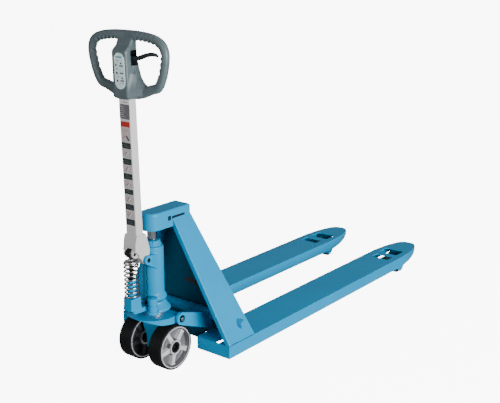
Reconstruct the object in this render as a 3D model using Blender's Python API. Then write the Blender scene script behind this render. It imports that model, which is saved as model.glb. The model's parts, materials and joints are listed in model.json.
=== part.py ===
"""A hand pallet truck: forks, A-frame and head, a steered hydraulic pump with twin wheels,
a pumping handle with a loop grip, and the rocker, push rods and load rollers that lift the tips.

Sizes below are millimetres, measured from the front face of the fork heels: +X is the truck's right,
+Y runs along the forks to their tips, +Z is up. The mesh is in metres, with its origin on the floor.
"""

import math

import bmesh
import bpy
from mathutils import Matrix, Vector
from mathutils.geometry import tessellate_polygon

MM = 0.001
GAP = 0.4

# Forks
FORK_END = 1532.0
PUMP_FRONT = -246.0
CENTRE_Y = (FORK_END + PUMP_FRONT) / 2
FORK_OUT = 285.0
FORK_WIDTH = 162.0
FORK_MID = FORK_OUT - FORK_WIDTH / 2
FORK_LOW = 52.0
FORK_TOP = 102.0
SHEET = 4.5
HEEL_OPEN = 147.0  # the top plate starts behind the side panels
TIP_START = 1320.0
ROLLER_SLOT = (1313.0, 1388.0)
SPACER_SLOT = (1237.0, 1279.0)
SLOT_HALF = 40.0

# A-frame: the panels lean inwards from the heels to the head
PANEL_FOOT = (285.0, 104.5)
PANEL_TOP = (50.0, 560.0)
PANEL_LENGTH = 528.0
PANEL_SHEET = 5.0
FRONT_LIP = 20.0
BACK_LIP = 14.0
HEAD_HALF = 43.0
HEAD_LOW = 547.0
HEAD_HIGH = 608.0
HEAD_BACK = 56.0
HEAD_ROUND = 11.0

# Pump and steering
STEER_Y = -105.0
PUMP_RADIUS = 42.0
PUMP_LOW = 262.0
PUMP_HIGH = 478.0
ROD_RADIUS = 19.0
WHEEL_RADIUS = 89.0
WHEEL_IN = 48.0
WHEEL_OUT = 109.0
AXLE_RADIUS = 12.5
BRACKET_LOW = 184.0
BRACKET_HIGH = 224.0
PLUNGER_Y = -218.0
BLOCK_TOP = 303.0
VALVE_SPOT = (45.0, -158.0)
VALVE_LOW = 236.0
RELEASE_ROD = (19.5, -158.0)
RELEASE_PIVOT = (-166.0, 268.0)
RELEASE_LOW = 275.0
RELEASE_HIGH = 418.0
PLUNGER_LOW = 234.0  # bottom of the plunger's bore
SPRING_WIRE = 2.6
SPRING_RADIUS = 23.5
SPRING_HIGH = 440.0
SPRING_TURNS = 9

# Rocker
ROCKER = (97.0, 161.0)
ARM_PIN = (-76.0, 199.0)
ARM_IN = 105.0
ARM_OUT = 117.0
LEVER_END = (76.0, 72.0)
LEVER_IN = 218.0
LEVER_OUT = 226.0
ROD_REAR_X = 231.5
ROD_FRONT_X = 259.0
ROD_HALF = 3.5

# Load wheels
YOKE_PIVOT = (1489.0, 84.0)
LOAD_AXLE = (1359.0, 37.5)
ROD_JOINT = (1395.0, 62.0)
LOAD_RADIUS = 37.5
LOAD_HALF = 36.5
YOKE_IN = 37.5
YOKE_OUT = 41.5

# Handle
HANDLE_PIVOT = (-171.0, 443.0)
TUBE_FOOT = (-194.0, 557.0)
HANDLE_LEAN = math.radians(1.42)
TUBE_HALF = (22.0, 18.0)
TUBE_CORNER = 4.0
TUBE_TOP = 520.0
CAM_PIN = (-220.0, 474.0)
CAM_RADIUS = 17.0
GRIP_DEPTH = (0.0, 28.0)
COLUMN_HALF = 33.0
COLUMN_DEPTH = (-32.0, 22.0)
LEVER_PIVOT = (24.0, 632.0)

PAINT = (0.02, 0.32, 0.55)
DARK_PAINT = (0.01, 0.12, 0.20)
STEEL = (0.60, 0.60, 0.60)
CHROME = (0.85, 0.85, 0.87)
ALUMINIUM = (0.72, 0.72, 0.74)
SILVER_PAINT = (0.50, 0.49, 0.48)
RUBBER = (0.015, 0.016, 0.017)
GRIP_GREY = (0.075, 0.095, 0.105)
BLACK = (0.02, 0.02, 0.02)
NYLON = (0.08, 0.08, 0.08)
LABEL = (0.62, 0.70, 0.72)


# Bodies: name -> (parent, joint axis position)
BODIES = {
    "root": (None, (0, 0, 0)),
    "rocker": ("root", (0, *ROCKER)),
    "bearing_bracket": ("root", (0, STEER_Y, BRACKET_HIGH)),
    "steering": ("bearing_bracket", (0, STEER_Y, BRACKET_HIGH)),
    "handle": ("steering", (0, *HANDLE_PIVOT)),
    "plunger": ("steering", (0, PLUNGER_Y, BLOCK_TOP)),
    "release_rod": ("steering", (*RELEASE_ROD, RELEASE_HIGH)),
    "release_lever": ("steering", (RELEASE_ROD[0], *RELEASE_PIVOT)),
}
for side_name, side_sign in (("left", -1), ("right", 1)):
    BODIES[f"steer_wheel_{side_name}"] = (
        "steering", (side_sign * (WHEEL_IN + WHEEL_OUT) / 2, STEER_Y, WHEEL_RADIUS))
    BODIES[f"push_rod_{side_name}"] = ("rocker", (side_sign * ROD_REAR_X, *LEVER_END))
    BODIES[f"yoke_{side_name}"] = ("root", (side_sign * FORK_MID, *YOKE_PIVOT))
    BODIES[f"load_wheel_{side_name}"] = (
        f"yoke_{side_name}", (side_sign * FORK_MID, *LOAD_AXLE))


def handle_point(x, depth, along):
    """A point of the handle: across, behind the tube's axis, and along the tube."""
    lean = Matrix.Rotation(HANDLE_LEAN, 3, "X")
    return Vector((x, TUBE_FOOT[0], TUBE_FOOT[1])) + lean @ Vector((0, depth, along))


BODIES["control_lever"] = ("handle", tuple(handle_point(LEVER_PIVOT[0], 0, LEVER_PIVOT[1])))

materials = {}
empties = {}


def material(name, colour, roughness, metallic=0.0):
    if name not in materials:
        made = bpy.data.materials.new(name)
        made.use_nodes = True
        shader = made.node_tree.nodes["Principled BSDF"]
        shader.inputs["Base Color"].default_value = (*colour, 1.0)
        shader.inputs["Roughness"].default_value = roughness
        shader.inputs["Metallic"].default_value = metallic
        made.diffuse_color = (*colour, 1.0)
        materials[name] = made
    return materials[name]


def paint(node):
    return material(f"{node}_paint", PAINT, 0.35)


def steel(node):
    return material(f"{node}_steel", STEEL, 0.4, 1.0)


# ---- mesh helpers, all in millimetres -------------------------------------------------


def mesh_from(name, points, faces):
    mesh = bpy.data.meshes.new(name)
    mesh.from_pydata([Vector(p) * MM for p in points], [], faces)
    work = bmesh.new()
    work.from_mesh(mesh)
    bmesh.ops.recalc_face_normals(work, faces=work.faces)
    work.to_mesh(mesh)
    work.free()
    return mesh


def raw_object(name, mesh):
    made = bpy.data.objects.new(name, mesh)
    bpy.context.collection.objects.link(made)
    return made


def put(axis, low_high, point):
    """A 2D outline point placed on a plane across the named axis."""
    a, b = point
    return {"X": (low_high, a, b), "Y": (a, low_high, b), "Z": (a, b, low_high)}[axis]


def slab(name, outline, axis, low, high, holes=()):
    """An outline with holes, drawn across an axis and extruded between two heights."""
    loops = [list(outline), *[list(hole) for hole in holes]]
    flat = [point for loop in loops for point in loop]
    caps = tessellate_polygon([[Vector((a, b, 0)) for a, b in loop] for loop in loops])
    count = len(flat)
    points = [put(axis, low, p) for p in flat] + [put(axis, high, p) for p in flat]
    faces = [tuple(cap) for cap in caps]
    faces += [tuple(index + count for index in reversed(cap)) for cap in caps]
    start = 0
    for loop in loops:
        size = len(loop)
        for i in range(size):
            a, b = start + i, start + (i + 1) % size
            faces.append((a, b, b + count, a + count))
        start += size
    return raw_object(name, mesh_from(name, points, faces))


def box(name, low, high):
    x0, y0, z0 = low
    x1, y1, z1 = high
    return slab(name, [(x0, y0), (x1, y0), (x1, y1), (x0, y1)], "Z", z0, z1)


def loft(name, rings):
    """A closed body through rings of equal point count, capped at both ends."""
    size = len(rings[0])
    points = [point for ring in rings for point in ring]
    faces = [tuple(range(size)), tuple(range(len(points) - size, len(points)))]
    for level in range(len(rings) - 1):
        for i in range(size):
            a, b = level * size + i, level * size + (i + 1) % size
            faces.append((a, b, b + size, a + size))
    return raw_object(name, mesh_from(name, points, faces))


def turned(name, profile, axis, centre, sides=32):
    """Revolve (radius, height) points about an axis; a profile off the axis closes on itself."""
    points, rings = [], []
    for radius, height in profile:
        if radius == 0:
            rings.append([len(points)])
            ring = [(0.0, 0.0)]
        else:
            rings.append(list(range(len(points), len(points) + sides)))
            turns = [2 * math.pi * i / sides for i in range(sides)]
            ring = [(radius * math.cos(t), radius * math.sin(t)) for t in turns]
        for a, b in ring:
            offset = Vector(put(axis, height, (a, b)))
            points.append(offset + Vector(centre))
    hollow = all(radius > 0 for radius, _ in profile)
    pairs = list(zip(rings, rings[1:]))
    if hollow:
        pairs.append((rings[-1], rings[0]))
    faces = []
    for one, two in pairs:
        for i in range(sides):
            j = (i + 1) % sides
            if len(one) == 1 and len(two) == 1:
                continue
            if len(one) == 1:
                faces.append((one[0], two[i], two[j]))
            elif len(two) == 1:
                faces.append((one[i], one[j], two[0]))
            else:
                faces.append((one[i], one[j], two[j], two[i]))
    made = raw_object(name, mesh_from(name, points, faces))
    made.data.shade_smooth()
    made.data.set_sharp_from_angle(angle=math.radians(30))
    return made


def rod(name, axis, centre, radius, low, high, chamfer=1.0, sides=20):
    profile = [(0, low), (radius - chamfer, low), (radius, low + chamfer),
               (radius, high - chamfer), (radius - chamfer, high), (0, high)]
    return turned(name, profile, axis, centre, sides)


def ring(name, axis, centre, inner, outer, low, high, sides=28):
    profile = [(outer, low), (outer, high), (inner, high), (inner, low)]
    return turned(name, profile, axis, centre, sides)


def combine(target, tool, operation="DIFFERENCE"):
    """Apply a Boolean and drop the tool."""
    change = target.modifiers.new(operation.lower(), "BOOLEAN")
    change.operation = operation
    change.solver = "EXACT"
    change.object = tool
    bpy.context.view_layer.update()
    shape = target.evaluated_get(bpy.context.evaluated_depsgraph_get())
    result = bpy.data.meshes.new_from_object(shape)
    target.modifiers.clear()
    target.data = result
    bpy.data.objects.remove(tool)
    return target


def arc(centre, radius, start, end, steps):
    """Points on an arc, its angles in degrees."""
    turns = [math.radians(start + (end - start) * i / steps) for i in range(steps + 1)]
    return [(centre[0] + radius * math.cos(t), centre[1] + radius * math.sin(t)) for t in turns]


def circle(centre, radius, sides=24):
    return arc(centre, radius, 0, 360 - 360 / sides, sides - 1)


def rounded(corners, steps=3):
    """A polygon whose corners, given as (a, b, radius), are filleted."""
    outline = []
    count = len(corners)
    for i, (a, b, radius) in enumerate(corners):
        here = Vector((a, b))
        before = Vector(corners[i - 1][:2]) - here
        after = Vector(corners[(i + 1) % count][:2]) - here
        if radius <= 0:
            outline.append((a, b))
            continue
        before.normalize()
        after.normalize()
        half = before.angle(after) / 2
        reach = radius / math.tan(half)
        middle = here + (before + after).normalized() * (radius / math.sin(half))
        first = here + before * reach - middle
        last = here + after * reach - middle
        turn = first.angle_signed(last)
        for k in range(steps + 1):
            spot = first.copy()
            spot.rotate(Matrix.Rotation(-turn * k / steps, 2))
            outline.append(tuple(middle + spot))
    return outline


def link_outline(spots, steps=7):
    """The outline round circles (a, b, radius) joined in a row by tangents, as a lever's plate."""
    hull = []
    for a, b, radius in spots:
        hull += circle((a, b), radius, steps * 2)
    hull = sorted(set((round(a, 5), round(b, 5)) for a, b in hull))

    def half(points):
        chain = []
        for p in points:
            while len(chain) > 1 and (
                (chain[-1][0] - chain[-2][0]) * (p[1] - chain[-2][1])
                - (chain[-1][1] - chain[-2][1]) * (p[0] - chain[-2][0])
            ) <= 0:
                chain.pop()
            chain.append(p)
        return chain[:-1]

    return half(hull) + half(hull[::-1])


def finish(made, name, body, look, smooth=None):
    """Name a piece, give it its material, and hang it on its body's empty."""
    made.name = name
    made.data.name = name
    made.data.materials.clear()
    made.data.materials.append(look)
    if smooth:
        made.data.shade_smooth()
        made.data.set_sharp_from_angle(angle=math.radians(smooth))
    pivot = Vector(BODIES[body][1]) * MM
    made.data.transform(Matrix.Translation(-pivot))
    made.parent = empties[body]
    return made


SIDES = (("left", -1), ("right", 1))


def span(sign, low, high):
    """Two heights along X for the side asked for, in order."""
    return (low, high) if sign > 0 else (-high, -low)


# ---- frame ----------------------------------------------------------------------------


def fork_plan(inset):
    """The fork's plan outline about its own middle line, drawn inwards by the inset."""
    half = FORK_WIDTH / 2 - inset
    end = FORK_END - inset
    tip = [(half, TIP_START), (half - 7, 1396.0), (half - 14, 1440.0), (half - 25, 1481.0),
           (half - 36, 1508.0), (half - 52, end - 6), (15.0, end)]
    right = [(half, inset), *tip]
    left = [(-a, b) for a, b in reversed(right)]
    return right + left


def fork_slots(centre):
    slots = []
    for low, high in (ROLLER_SLOT, SPACER_SLOT):
        slots.append(rounded([(centre - SLOT_HALF, low, 6), (centre + SLOT_HALF, low, 6),
                              (centre + SLOT_HALF, high, 6), (centre - SLOT_HALF, high, 6)], 3))
    return slots


def build_fork(name, sign):
    centre = sign * FORK_MID
    plan = [(centre + a, b) for a, b in fork_plan(0)]
    made = slab("fork", plan, "Z", FORK_LOW, FORK_TOP)
    cavity = [(centre + a, b) for a, b in fork_plan(SHEET)]
    combine(made, slab("cavity", cavity, "Z", FORK_LOW - 20, FORK_TOP - SHEET))
    inner = FORK_WIDTH / 2 - SHEET
    combine(made, box("heel", (centre - inner, SHEET, 60), (centre + inner, HEEL_OPEN, 130)))
    for slot in fork_slots(centre):
        combine(made, slab("slot", slot, "Z", FORK_LOW, FORK_TOP + 10))
    belly = [(TIP_START, FORK_LOW - 5), (TIP_START, FORK_LOW), (1400, 59), (1465, 70),
             (1510, 83), (FORK_END + 5, 92), (FORK_END + 5, FORK_LOW - 5)]
    combine(made, slab("belly", belly, "X", centre - 100, centre + 100))
    for hole_x in (-59.0, 34.0):
        spot = circle((centre + sign * hole_x, 1182), 6, 12)
        combine(made, slab("hole", spot, "Z", FORK_LOW, FORK_TOP + 10))
    pin = circle(YOKE_PIVOT, 7.4, 20)
    combine(made, slab("pin", pin, "X", centre - 90, centre + 90))
    return finish(made, name, "root", paint(name))


def panel_x(z):
    (x0, z0), (x1, z1) = PANEL_FOOT, PANEL_TOP
    return x0 + (x1 - x0) * (z - z0) / (z1 - z0)


def panel_front(z):
    return 2.0 - 0.0827 * (z - 107.0)


def panel_back(z):
    return 144.0 - 0.1906 * (z - 107.0)


def panel_ring(along):
    """The panel's channel section, at a length along its lean: (across, back) pairs."""
    foot = Vector(PANEL_FOOT)
    lean = (Vector(PANEL_TOP) - foot).normalized()
    inward = Vector((-lean.y, lean.x))
    spot = foot + lean * along
    front, back = panel_front(spot.y), panel_back(spot.y)
    section = [(front, 0), (back, 0), (back, BACK_LIP), (back - PANEL_SHEET, BACK_LIP),
               (back - PANEL_SHEET, PANEL_SHEET), (front + PANEL_SHEET, PANEL_SHEET),
               (front + PANEL_SHEET, FRONT_LIP), (front, FRONT_LIP)]
    return [(spot.x + inward.x * depth, y, spot.y + inward.y * depth) for y, depth in section]


def build_panel(name, sign):
    start = 1.0
    made = loft("panel", [panel_ring(start), panel_ring(PANEL_LENGTH)])
    combine(made, box("head_room", (-HEAD_HALF - GAP, -300, HEAD_LOW - GAP),
                      (HEAD_HALF + GAP, 300, HEAD_HIGH + 60)))
    combine(made, box("fork_room", (100, -100, 0), (400, 300, FORK_TOP + GAP)))
    combine(made, slab("shaft_hole", circle(ROCKER, 14.5), "X", 150, 350))
    if sign < 0:
        made.data.transform(Matrix.Scale(-1, 4, (1, 0, 0)))
        made.data.flip_normals()
    return finish(made, name, "root", paint(name))


def head_ring(z, inset):
    radius = HEAD_HALF - inset
    nose = arc((0, STEER_Y), radius, 180, 360, 20)
    back = HEAD_BACK - inset
    corner = 8.0
    right = arc((radius - corner, back - corner), corner, 0, 90, 3)
    left = arc((-radius + corner, back - corner), corner, 90, 180, 3)
    return [(x, y, z) for x, y in nose + right + left]


def build_head():
    rings = [head_ring(HEAD_LOW, 0), head_ring(HEAD_HIGH - HEAD_ROUND, 0)]
    steps = 4
    for k in range(1, steps + 1):
        turn = math.radians(90 * k / steps)
        inset = HEAD_ROUND * (1 - math.cos(turn))
        rings.append(head_ring(HEAD_HIGH - HEAD_ROUND * (1 - math.sin(turn)), inset))
    made = loft("head", rings)
    socket = circle((0, STEER_Y), ROD_RADIUS + GAP, 32)
    combine(made, slab("socket", socket, "Z", HEAD_LOW - 10, HEAD_LOW + 30))
    return finish(made, "head", "root", paint("head"), 40)


def build_shroud():
    """The plate that closes the back of the A-frame, just ahead of the panels' back lips."""
    rings = []
    for z in (FORK_TOP + 8.0, HEAD_LOW - 1.0):
        half = panel_x(z) - PANEL_SHEET / 0.8885 - 1.0
        y = panel_back(z) - PANEL_SHEET - 2.0  # the lips lean, so they reach forward a little
        rings.append([(-half, y - 4, z), (half, y - 4, z), (half, y, z), (-half, y, z)])
    return finish(loft("shroud", rings), "back_shroud", "root",
                  material("back_shroud_paint", DARK_PAINT, 0.45))


def build_frame():
    for side, sign in SIDES:
        build_fork(f"fork_{side}", sign)
        build_panel(f"side_panel_{side}", sign)
    build_head()
    build_shroud()
    shaft = rod("shaft", "X", (0, *ROCKER), 14.0, -268, 268, 2.0)
    finish(shaft, "rocker_shaft", "root", paint("rocker_shaft"))
    for side, sign in SIDES:
        half = 49.0
        pin = rod("pin", "X", (sign * FORK_MID, *YOKE_PIVOT), 7.0, -half, half)
        finish(pin, f"yoke_pivot_pin_{side}", "root", steel(f"yoke_pivot_pin_{side}"))
    piston = [(0, PUMP_LOW + 30), (ROD_RADIUS - 2, PUMP_LOW + 30), (ROD_RADIUS, PUMP_LOW + 32),
              (ROD_RADIUS, HEAD_LOW + 27), (ROD_RADIUS - 1, HEAD_LOW + 28), (0, HEAD_LOW + 28)]
    made = turned("piston", piston, "Z", (0, STEER_Y, 0), 32)
    finish(made, "piston_rod", "root", material("piston_rod_chrome", CHROME, 0.08, 1.0))


# ---- rocker and push rods -------------------------------------------------------------


def build_rocker():
    tube = ring("tube", "X", (0, *ROCKER), 14.5, 22.0, -232, 232)
    finish(tube, "rocker_tube", "rocker", paint("rocker_tube"))
    around = circle(ROCKER, 22.0 + GAP, 28)
    for side, sign in SIDES:
        arm = link_outline([(*ARM_PIN, 19.0), (*ROCKER, 25.0)])
        low, high = span(sign, ARM_IN, ARM_OUT)
        pin_hole = circle(ARM_PIN, 11.0 + GAP, 20)
        made = slab("arm", arm, "X", low, high, (pin_hole, around))
        finish(made, f"rocker_arm_{side}", "rocker", paint(f"rocker_arm_{side}"))
        low, high = span(sign, ARM_IN - 2, ARM_OUT + 5)
        pin = rod("pin", "X", (0, *ARM_PIN), 11.0, low, high, 1.5)
        finish(pin, f"arm_pin_{side}", "rocker", steel(f"arm_pin_{side}"))
        low, high = span(sign, LEVER_IN, LEVER_OUT)
        lever = link_outline([(*LEVER_END, 15.0), (*ROCKER, 25.0)])
        joint = circle(LEVER_END, 7.0 + GAP, 16)
        made = slab("lever", lever, "X", low, high, (around, joint))
        finish(made, f"rocker_lever_{side}", "rocker", paint(f"rocker_lever_{side}"))


def build_push_rods():
    """A flat bar from the rocker's lever to the yoke, with round eyes at both ends."""
    for side, sign in SIDES:
        name = f"push_rod_{side}"
        bar = link_outline([(*LEVER_END, 12.0), (LEVER_END[0] + 40, LEVER_END[1], 9.0)])
        made = slab("bar", bar, "X", -ROD_HALF, ROD_HALF, (circle(LEVER_END, 7 + GAP, 16),))
        front = link_outline([(*ROD_JOINT, 12.0), (ROD_JOINT[0] - 40, ROD_JOINT[1], 9.0)])
        tip = slab("tip", front, "X", -ROD_HALF, ROD_HALF)
        made.data.transform(Matrix.Translation((sign * ROD_REAR_X * MM, 0, 0)))
        tip.data.transform(Matrix.Translation((sign * ROD_FRONT_X * MM, 0, 0)))
        rings = []
        half = 8.0
        for x, y, z in ((ROD_REAR_X, LEVER_END[0] + 30, LEVER_END[1]),
                        (ROD_FRONT_X, ROD_JOINT[0] - 30, ROD_JOINT[1])):
            thick = ROD_HALF - 0.5
            rings.append([(sign * (x - thick), y, z - half), (sign * (x + thick), y, z - half),
                          (sign * (x + thick), y, z + half), (sign * (x - thick), y, z + half)])
        combine(made, loft("middle", rings), "UNION")
        combine(made, tip, "UNION")
        finish(made, name, name, material(f"{name}_paint", DARK_PAINT, 0.5))
        low, high = span(sign, LEVER_IN - 4, ROD_REAR_X + ROD_HALF + 3)
        pin = rod("pin", "X", (0, *LEVER_END), 7.0, low, high)
        finish(pin, f"push_rod_pin_{side}", name, steel(f"push_rod_pin_{side}"))


# ---- load wheels ----------------------------------------------------------------------


def build_load_wheels():
    for side, sign in SIDES:
        body = f"yoke_{side}"
        middle = sign * FORK_MID
        plate = link_outline([(*YOKE_PIVOT, 10.5), (1400, 58, 20.0), (*LOAD_AXLE, 16.0)])
        holes = (circle(YOKE_PIVOT, 7.0 + GAP, 18), circle(LOAD_AXLE, 8.0 + GAP, 18))
        made = slab("plate", plate, "X", middle - YOKE_OUT, middle - YOKE_IN, holes)
        other = slab("plate", plate, "X", middle + YOKE_IN, middle + YOKE_OUT, holes)
        bridge = slab("bridge", circle((1428, 66), 9, 20), "X", middle - 39, middle + 39)
        combine(made, bridge, "UNION")
        combine(made, other, "UNION")
        stub_low, stub_high = span(sign, FORK_MID + YOKE_OUT - 1, ROD_FRONT_X - ROD_HALF - 1)
        stub = slab("stub", circle(ROD_JOINT, 6, 16), "X", stub_low, stub_high)
        combine(made, stub, "UNION")
        finish(made, f"load_yoke_{side}", body, paint(f"load_yoke_{side}"))
        axle = rod("axle", "X", (middle, *LOAD_AXLE), 8.0, -YOKE_OUT - 3, YOKE_OUT + 3)
        finish(axle, f"load_axle_{side}", body, steel(f"load_axle_{side}"))
        body = f"load_wheel_{side}"
        profile = [(15.0, -LOAD_HALF), (LOAD_RADIUS - 3, -LOAD_HALF), (LOAD_RADIUS, -LOAD_HALF + 3),
                   (LOAD_RADIUS, LOAD_HALF - 3), (LOAD_RADIUS - 3, LOAD_HALF), (15.0, LOAD_HALF)]
        tyre = turned("roller", profile, "X", (middle, *LOAD_AXLE), 28)
        finish(tyre, f"load_roller_{side}", body, material(f"load_roller_{side}_nylon", NYLON, 0.4))
        bearing = ring("bearing", "X", (middle, *LOAD_AXLE), 8.4, 14.7, -LOAD_HALF, LOAD_HALF, 20)
        finish(bearing, f"load_bearing_{side}", body, steel(f"load_bearing_{side}"))


# ---- pump and steering ----------------------------------------------------------------


def build_bearing_bracket():
    """The casting between the steering and the rocker's arms: a bowl with a round front."""
    reach = 100.0
    plan = [(reach, -62), *arc((0, STEER_Y - 5), reach, 0, -180, 24), (-reach, -62)]
    made = slab("bracket", plan, "Z", BRACKET_LOW - 20, BRACKET_HIGH - 12)
    side = rounded([(-40, BRACKET_HIGH, 0), (-215, BRACKET_HIGH, 0), (-215, 212, 4),
                    (-160, 190, 30), (-110, BRACKET_LOW, 20), (-58, BRACKET_LOW, 10)], 4)
    combine(made, slab("side", side, "X", -reach - 5, reach + 5), "INTERSECT")
    hole = circle((0, STEER_Y), 30.0, 32)
    combine(made, slab("hole", hole, "Z", 100, 300))
    return finish(made, "bearing_bracket", "bearing_bracket", paint("bearing_bracket"), 35)


def build_pump():
    centre = (0, STEER_Y, 0)
    bearing = ring("bearing", "Z", centre, 31.0, 48.0, BRACKET_HIGH - 12 + GAP, BRACKET_HIGH - 0.6)
    finish(bearing, "thrust_bearing", "bearing_bracket", steel("thrust_bearing"))

    bore = ROD_RADIUS + GAP
    profile = [(bore, PUMP_LOW + 16), (bore, PUMP_HIGH), (PUMP_RADIUS - 5, PUMP_HIGH),
               (PUMP_RADIUS, PUMP_HIGH - 6), (PUMP_RADIUS, PUMP_LOW + 24), (49, PUMP_LOW + 17),
               (49, PUMP_LOW + 10), (40, PUMP_LOW), (bore, PUMP_LOW)]
    made = turned("cylinder", profile, "Z", centre, 32)
    y, z = HANDLE_PIVOT
    ear = link_outline([(y, z, 17.0), (STEER_Y - 14, z - 12, 30.0)])
    for low, high in ((-46, -33), (33, 46)):
        lug = slab("ear", ear, "X", low, high)
        combine(made, lug, "UNION")
    spare = slab("bore", circle((0, STEER_Y), bore, 32), "Z", PUMP_LOW - 5, PUMP_HIGH + 5)
    combine(made, spare)
    pivot = slab("pivot", circle(HANDLE_PIVOT, 8.0 + GAP, 20), "X", -60, 60)
    combine(made, pivot)
    finish(made, "pump_cylinder", "steering", paint("pump_cylinder"), 35)

    nut = [(bore, PUMP_HIGH + GAP), (bore, PUMP_HIGH + 22), (29, PUMP_HIGH + 22), (31, PUMP_HIGH + 19),
           (31, PUMP_HIGH + 12), (35, PUMP_HIGH + 9), (35, PUMP_HIGH + GAP)]
    finish(turned("nut", nut, "Z", centre, 28), "gland_nut", "steering", paint("gland_nut"))
    seal = ring("seal", "Z", centre, bore, 26.0, PUMP_HIGH + 22.4, PUMP_HIGH + 26)
    finish(seal, "wiper_seal", "steering", material("wiper_seal_rubber", RUBBER, 0.6))

    foot = turned("foot", [(0, BRACKET_HIGH), (62, BRACKET_HIGH), (66, BRACKET_HIGH + 5),
                           (60, BRACKET_HIGH + 16), (44, PUMP_LOW - GAP), (0, PUMP_LOW - GAP)],
                  "Z", centre, 40)
    arm = rounded([(30, STEER_Y, 0), (24, -192, 10), (22, -243, 5), (-22, -243, 5),
                   (-24, -192, 10), (-30, STEER_Y, 0)], 3)
    combine(foot, slab("arm", arm, "Z", BRACKET_HIGH + 4, PUMP_LOW - 6), "UNION")
    well = circle((0, PLUNGER_Y), 10, 24)
    combine(foot, slab("well", well, "Z", PLUNGER_LOW, PUMP_LOW + 40))
    seat = circle(VALVE_SPOT, 19 + GAP, 28)
    combine(foot, slab("seat", seat, "Z", VALVE_LOW - GAP, PUMP_LOW + 40))
    finish(foot, "pump_base", "steering", paint("pump_base"), 35)

    deep = 26.0
    block = rounded([(22, deep, 5), (22, -deep, 5), (-22, -deep, 5), (-22, deep, 5)], 2)
    flare = (PLUNGER_Y - PUMP_FRONT) / deep
    flared = [[(x * grow, PLUNGER_Y + y * grow, z) for x, y in block]
              for grow, z in ((flare, PUMP_LOW - 5.5), (1.02, PUMP_LOW + 12), (1.0, BLOCK_TOP))]
    made = loft("block", flared)
    combine(made, slab("bore", well, "Z", PLUNGER_LOW, BLOCK_TOP + 5))
    finish(made, "plunger_housing", "steering", paint("plunger_housing"), 35)
    guide = ring("guide", "Z", (0, PLUNGER_Y, 0), 9.8, 17.0, BLOCK_TOP + GAP, BLOCK_TOP + 42, 28)
    finish(guide, "plunger_guide", "steering", paint("plunger_guide"))

    valve = [(0, 0), (19, 0), (19, 18), (16.5, 21), (16.5, 25), (19, 28), (19, 44), (16, 47), (0, 47)]
    made = turned("valve", valve, "Z", (*VALVE_SPOT, VALVE_LOW), 20)
    finish(made, "release_valve", "steering", paint("release_valve"))

    column = [(-40, BRACKET_HIGH - 45), (40, BRACKET_HIGH - 45), (40, 150), (22, 112), (22, 66),
              (-22, 66), (-22, 112), (-40, 150)]
    made = slab("column", column, "Y", STEER_Y - 22, STEER_Y + 22)
    stem = slab("stem", circle((0, STEER_Y), 24, 28), "Z", BRACKET_HIGH - 50, BRACKET_HIGH - GAP)
    combine(made, stem, "UNION")
    combine(made, slab("axle", circle((STEER_Y, WHEEL_RADIUS), AXLE_RADIUS + GAP, 24), "X", -60, 60))
    finish(made, "steer_column", "steering", paint("steer_column"), 35)
    axle = rod("axle", "X", (0, STEER_Y, WHEEL_RADIUS), AXLE_RADIUS, -100, 100, 1.5)
    finish(axle, "steer_axle", "steering", steel("steer_axle"))

    pin = rod("pin", "X", (0, *HANDLE_PIVOT), 8.0, -47.5, 47.5)
    finish(pin, "handle_pivot_pin", "steering", steel("handle_pivot_pin"))


def coil_points(turns, low, high, radius, per_turn=10):
    """Points along a helix about the plunger's axis."""
    count = turns * per_turn
    for i in range(count + 1):
        turn = 2 * math.pi * i / per_turn
        height = low + (high - low) * i / count
        yield (radius * math.cos(turn), PLUNGER_Y + radius * math.sin(turn), height)


def build_spring():
    curve = bpy.data.curves.new("coil", "CURVE")
    curve.dimensions = "3D"
    spline = curve.splines.new("POLY")
    low, high = BLOCK_TOP + SPRING_WIRE + GAP, SPRING_HIGH - SPRING_WIRE - GAP
    route = list(coil_points(SPRING_TURNS, low, high, SPRING_RADIUS))
    spline.points.add(len(route) - 1)
    for point, spot in zip(spline.points, route):
        point.co = (*(Vector(spot) * MM), 1.0)
    curve.bevel_depth = SPRING_WIRE * MM
    curve.bevel_resolution = 0
    curve.use_fill_caps = True
    made = raw_object("coil", curve)
    bpy.context.view_layer.update()
    shape = made.evaluated_get(bpy.context.evaluated_depsgraph_get())
    mesh = bpy.data.meshes.new_from_object(shape)
    bpy.data.objects.remove(made)
    work = bmesh.new()
    work.from_mesh(mesh)
    bmesh.ops.remove_doubles(work, verts=work.verts, dist=1e-6)
    bmesh.ops.recalc_face_normals(work, faces=work.faces)
    work.to_mesh(mesh)
    work.free()
    finish(raw_object("spring", mesh), "return_spring", "steering",
           material("return_spring_steel", STEEL, 0.3, 1.0), 60)


def build_plunger():
    foot = BLOCK_TOP - 2
    stem = [(0, foot), (9.2, foot), (9.2, SPRING_HIGH), (0, SPRING_HIGH)]
    made = turned("stem", stem, "Z", (0, PLUNGER_Y, 0), 24)
    finish(made, "pump_plunger", "plunger", material("pump_plunger_steel", STEEL, 0.25, 1.0))
    cap = [(0, SPRING_HIGH + GAP), (25, SPRING_HIGH + GAP), (26, SPRING_HIGH + 2),
           (26, SPRING_HIGH + 4), (14, SPRING_HIGH + 6), (12, SPRING_HIGH + 14), (0, SPRING_HIGH + 14)]
    made = turned("cap", cap, "Z", (0, PLUNGER_Y, 0), 28)
    finish(made, "spring_cap", "plunger", material("spring_cap_steel", BLACK, 0.4, 0.6))


def build_release():
    route = rod("rod", "Z", (*RELEASE_ROD, 0), 2.2, RELEASE_LOW, RELEASE_HIGH, 0.5, 12)
    finish(route, "release_rod", "release_rod", material("release_rod_steel", CHROME, 0.3, 1.0))
    lever = link_outline([(*RELEASE_PIVOT, 6.0), (RELEASE_PIVOT[0] + 9, RELEASE_PIVOT[1], 5.0)])
    made = slab("lever", lever, "X", RELEASE_ROD[0] - 3.5, RELEASE_ROD[0] + 3.5)
    finish(made, "release_lever", "release_lever", material("release_lever_steel", BLACK, 0.4, 0.7))


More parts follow.
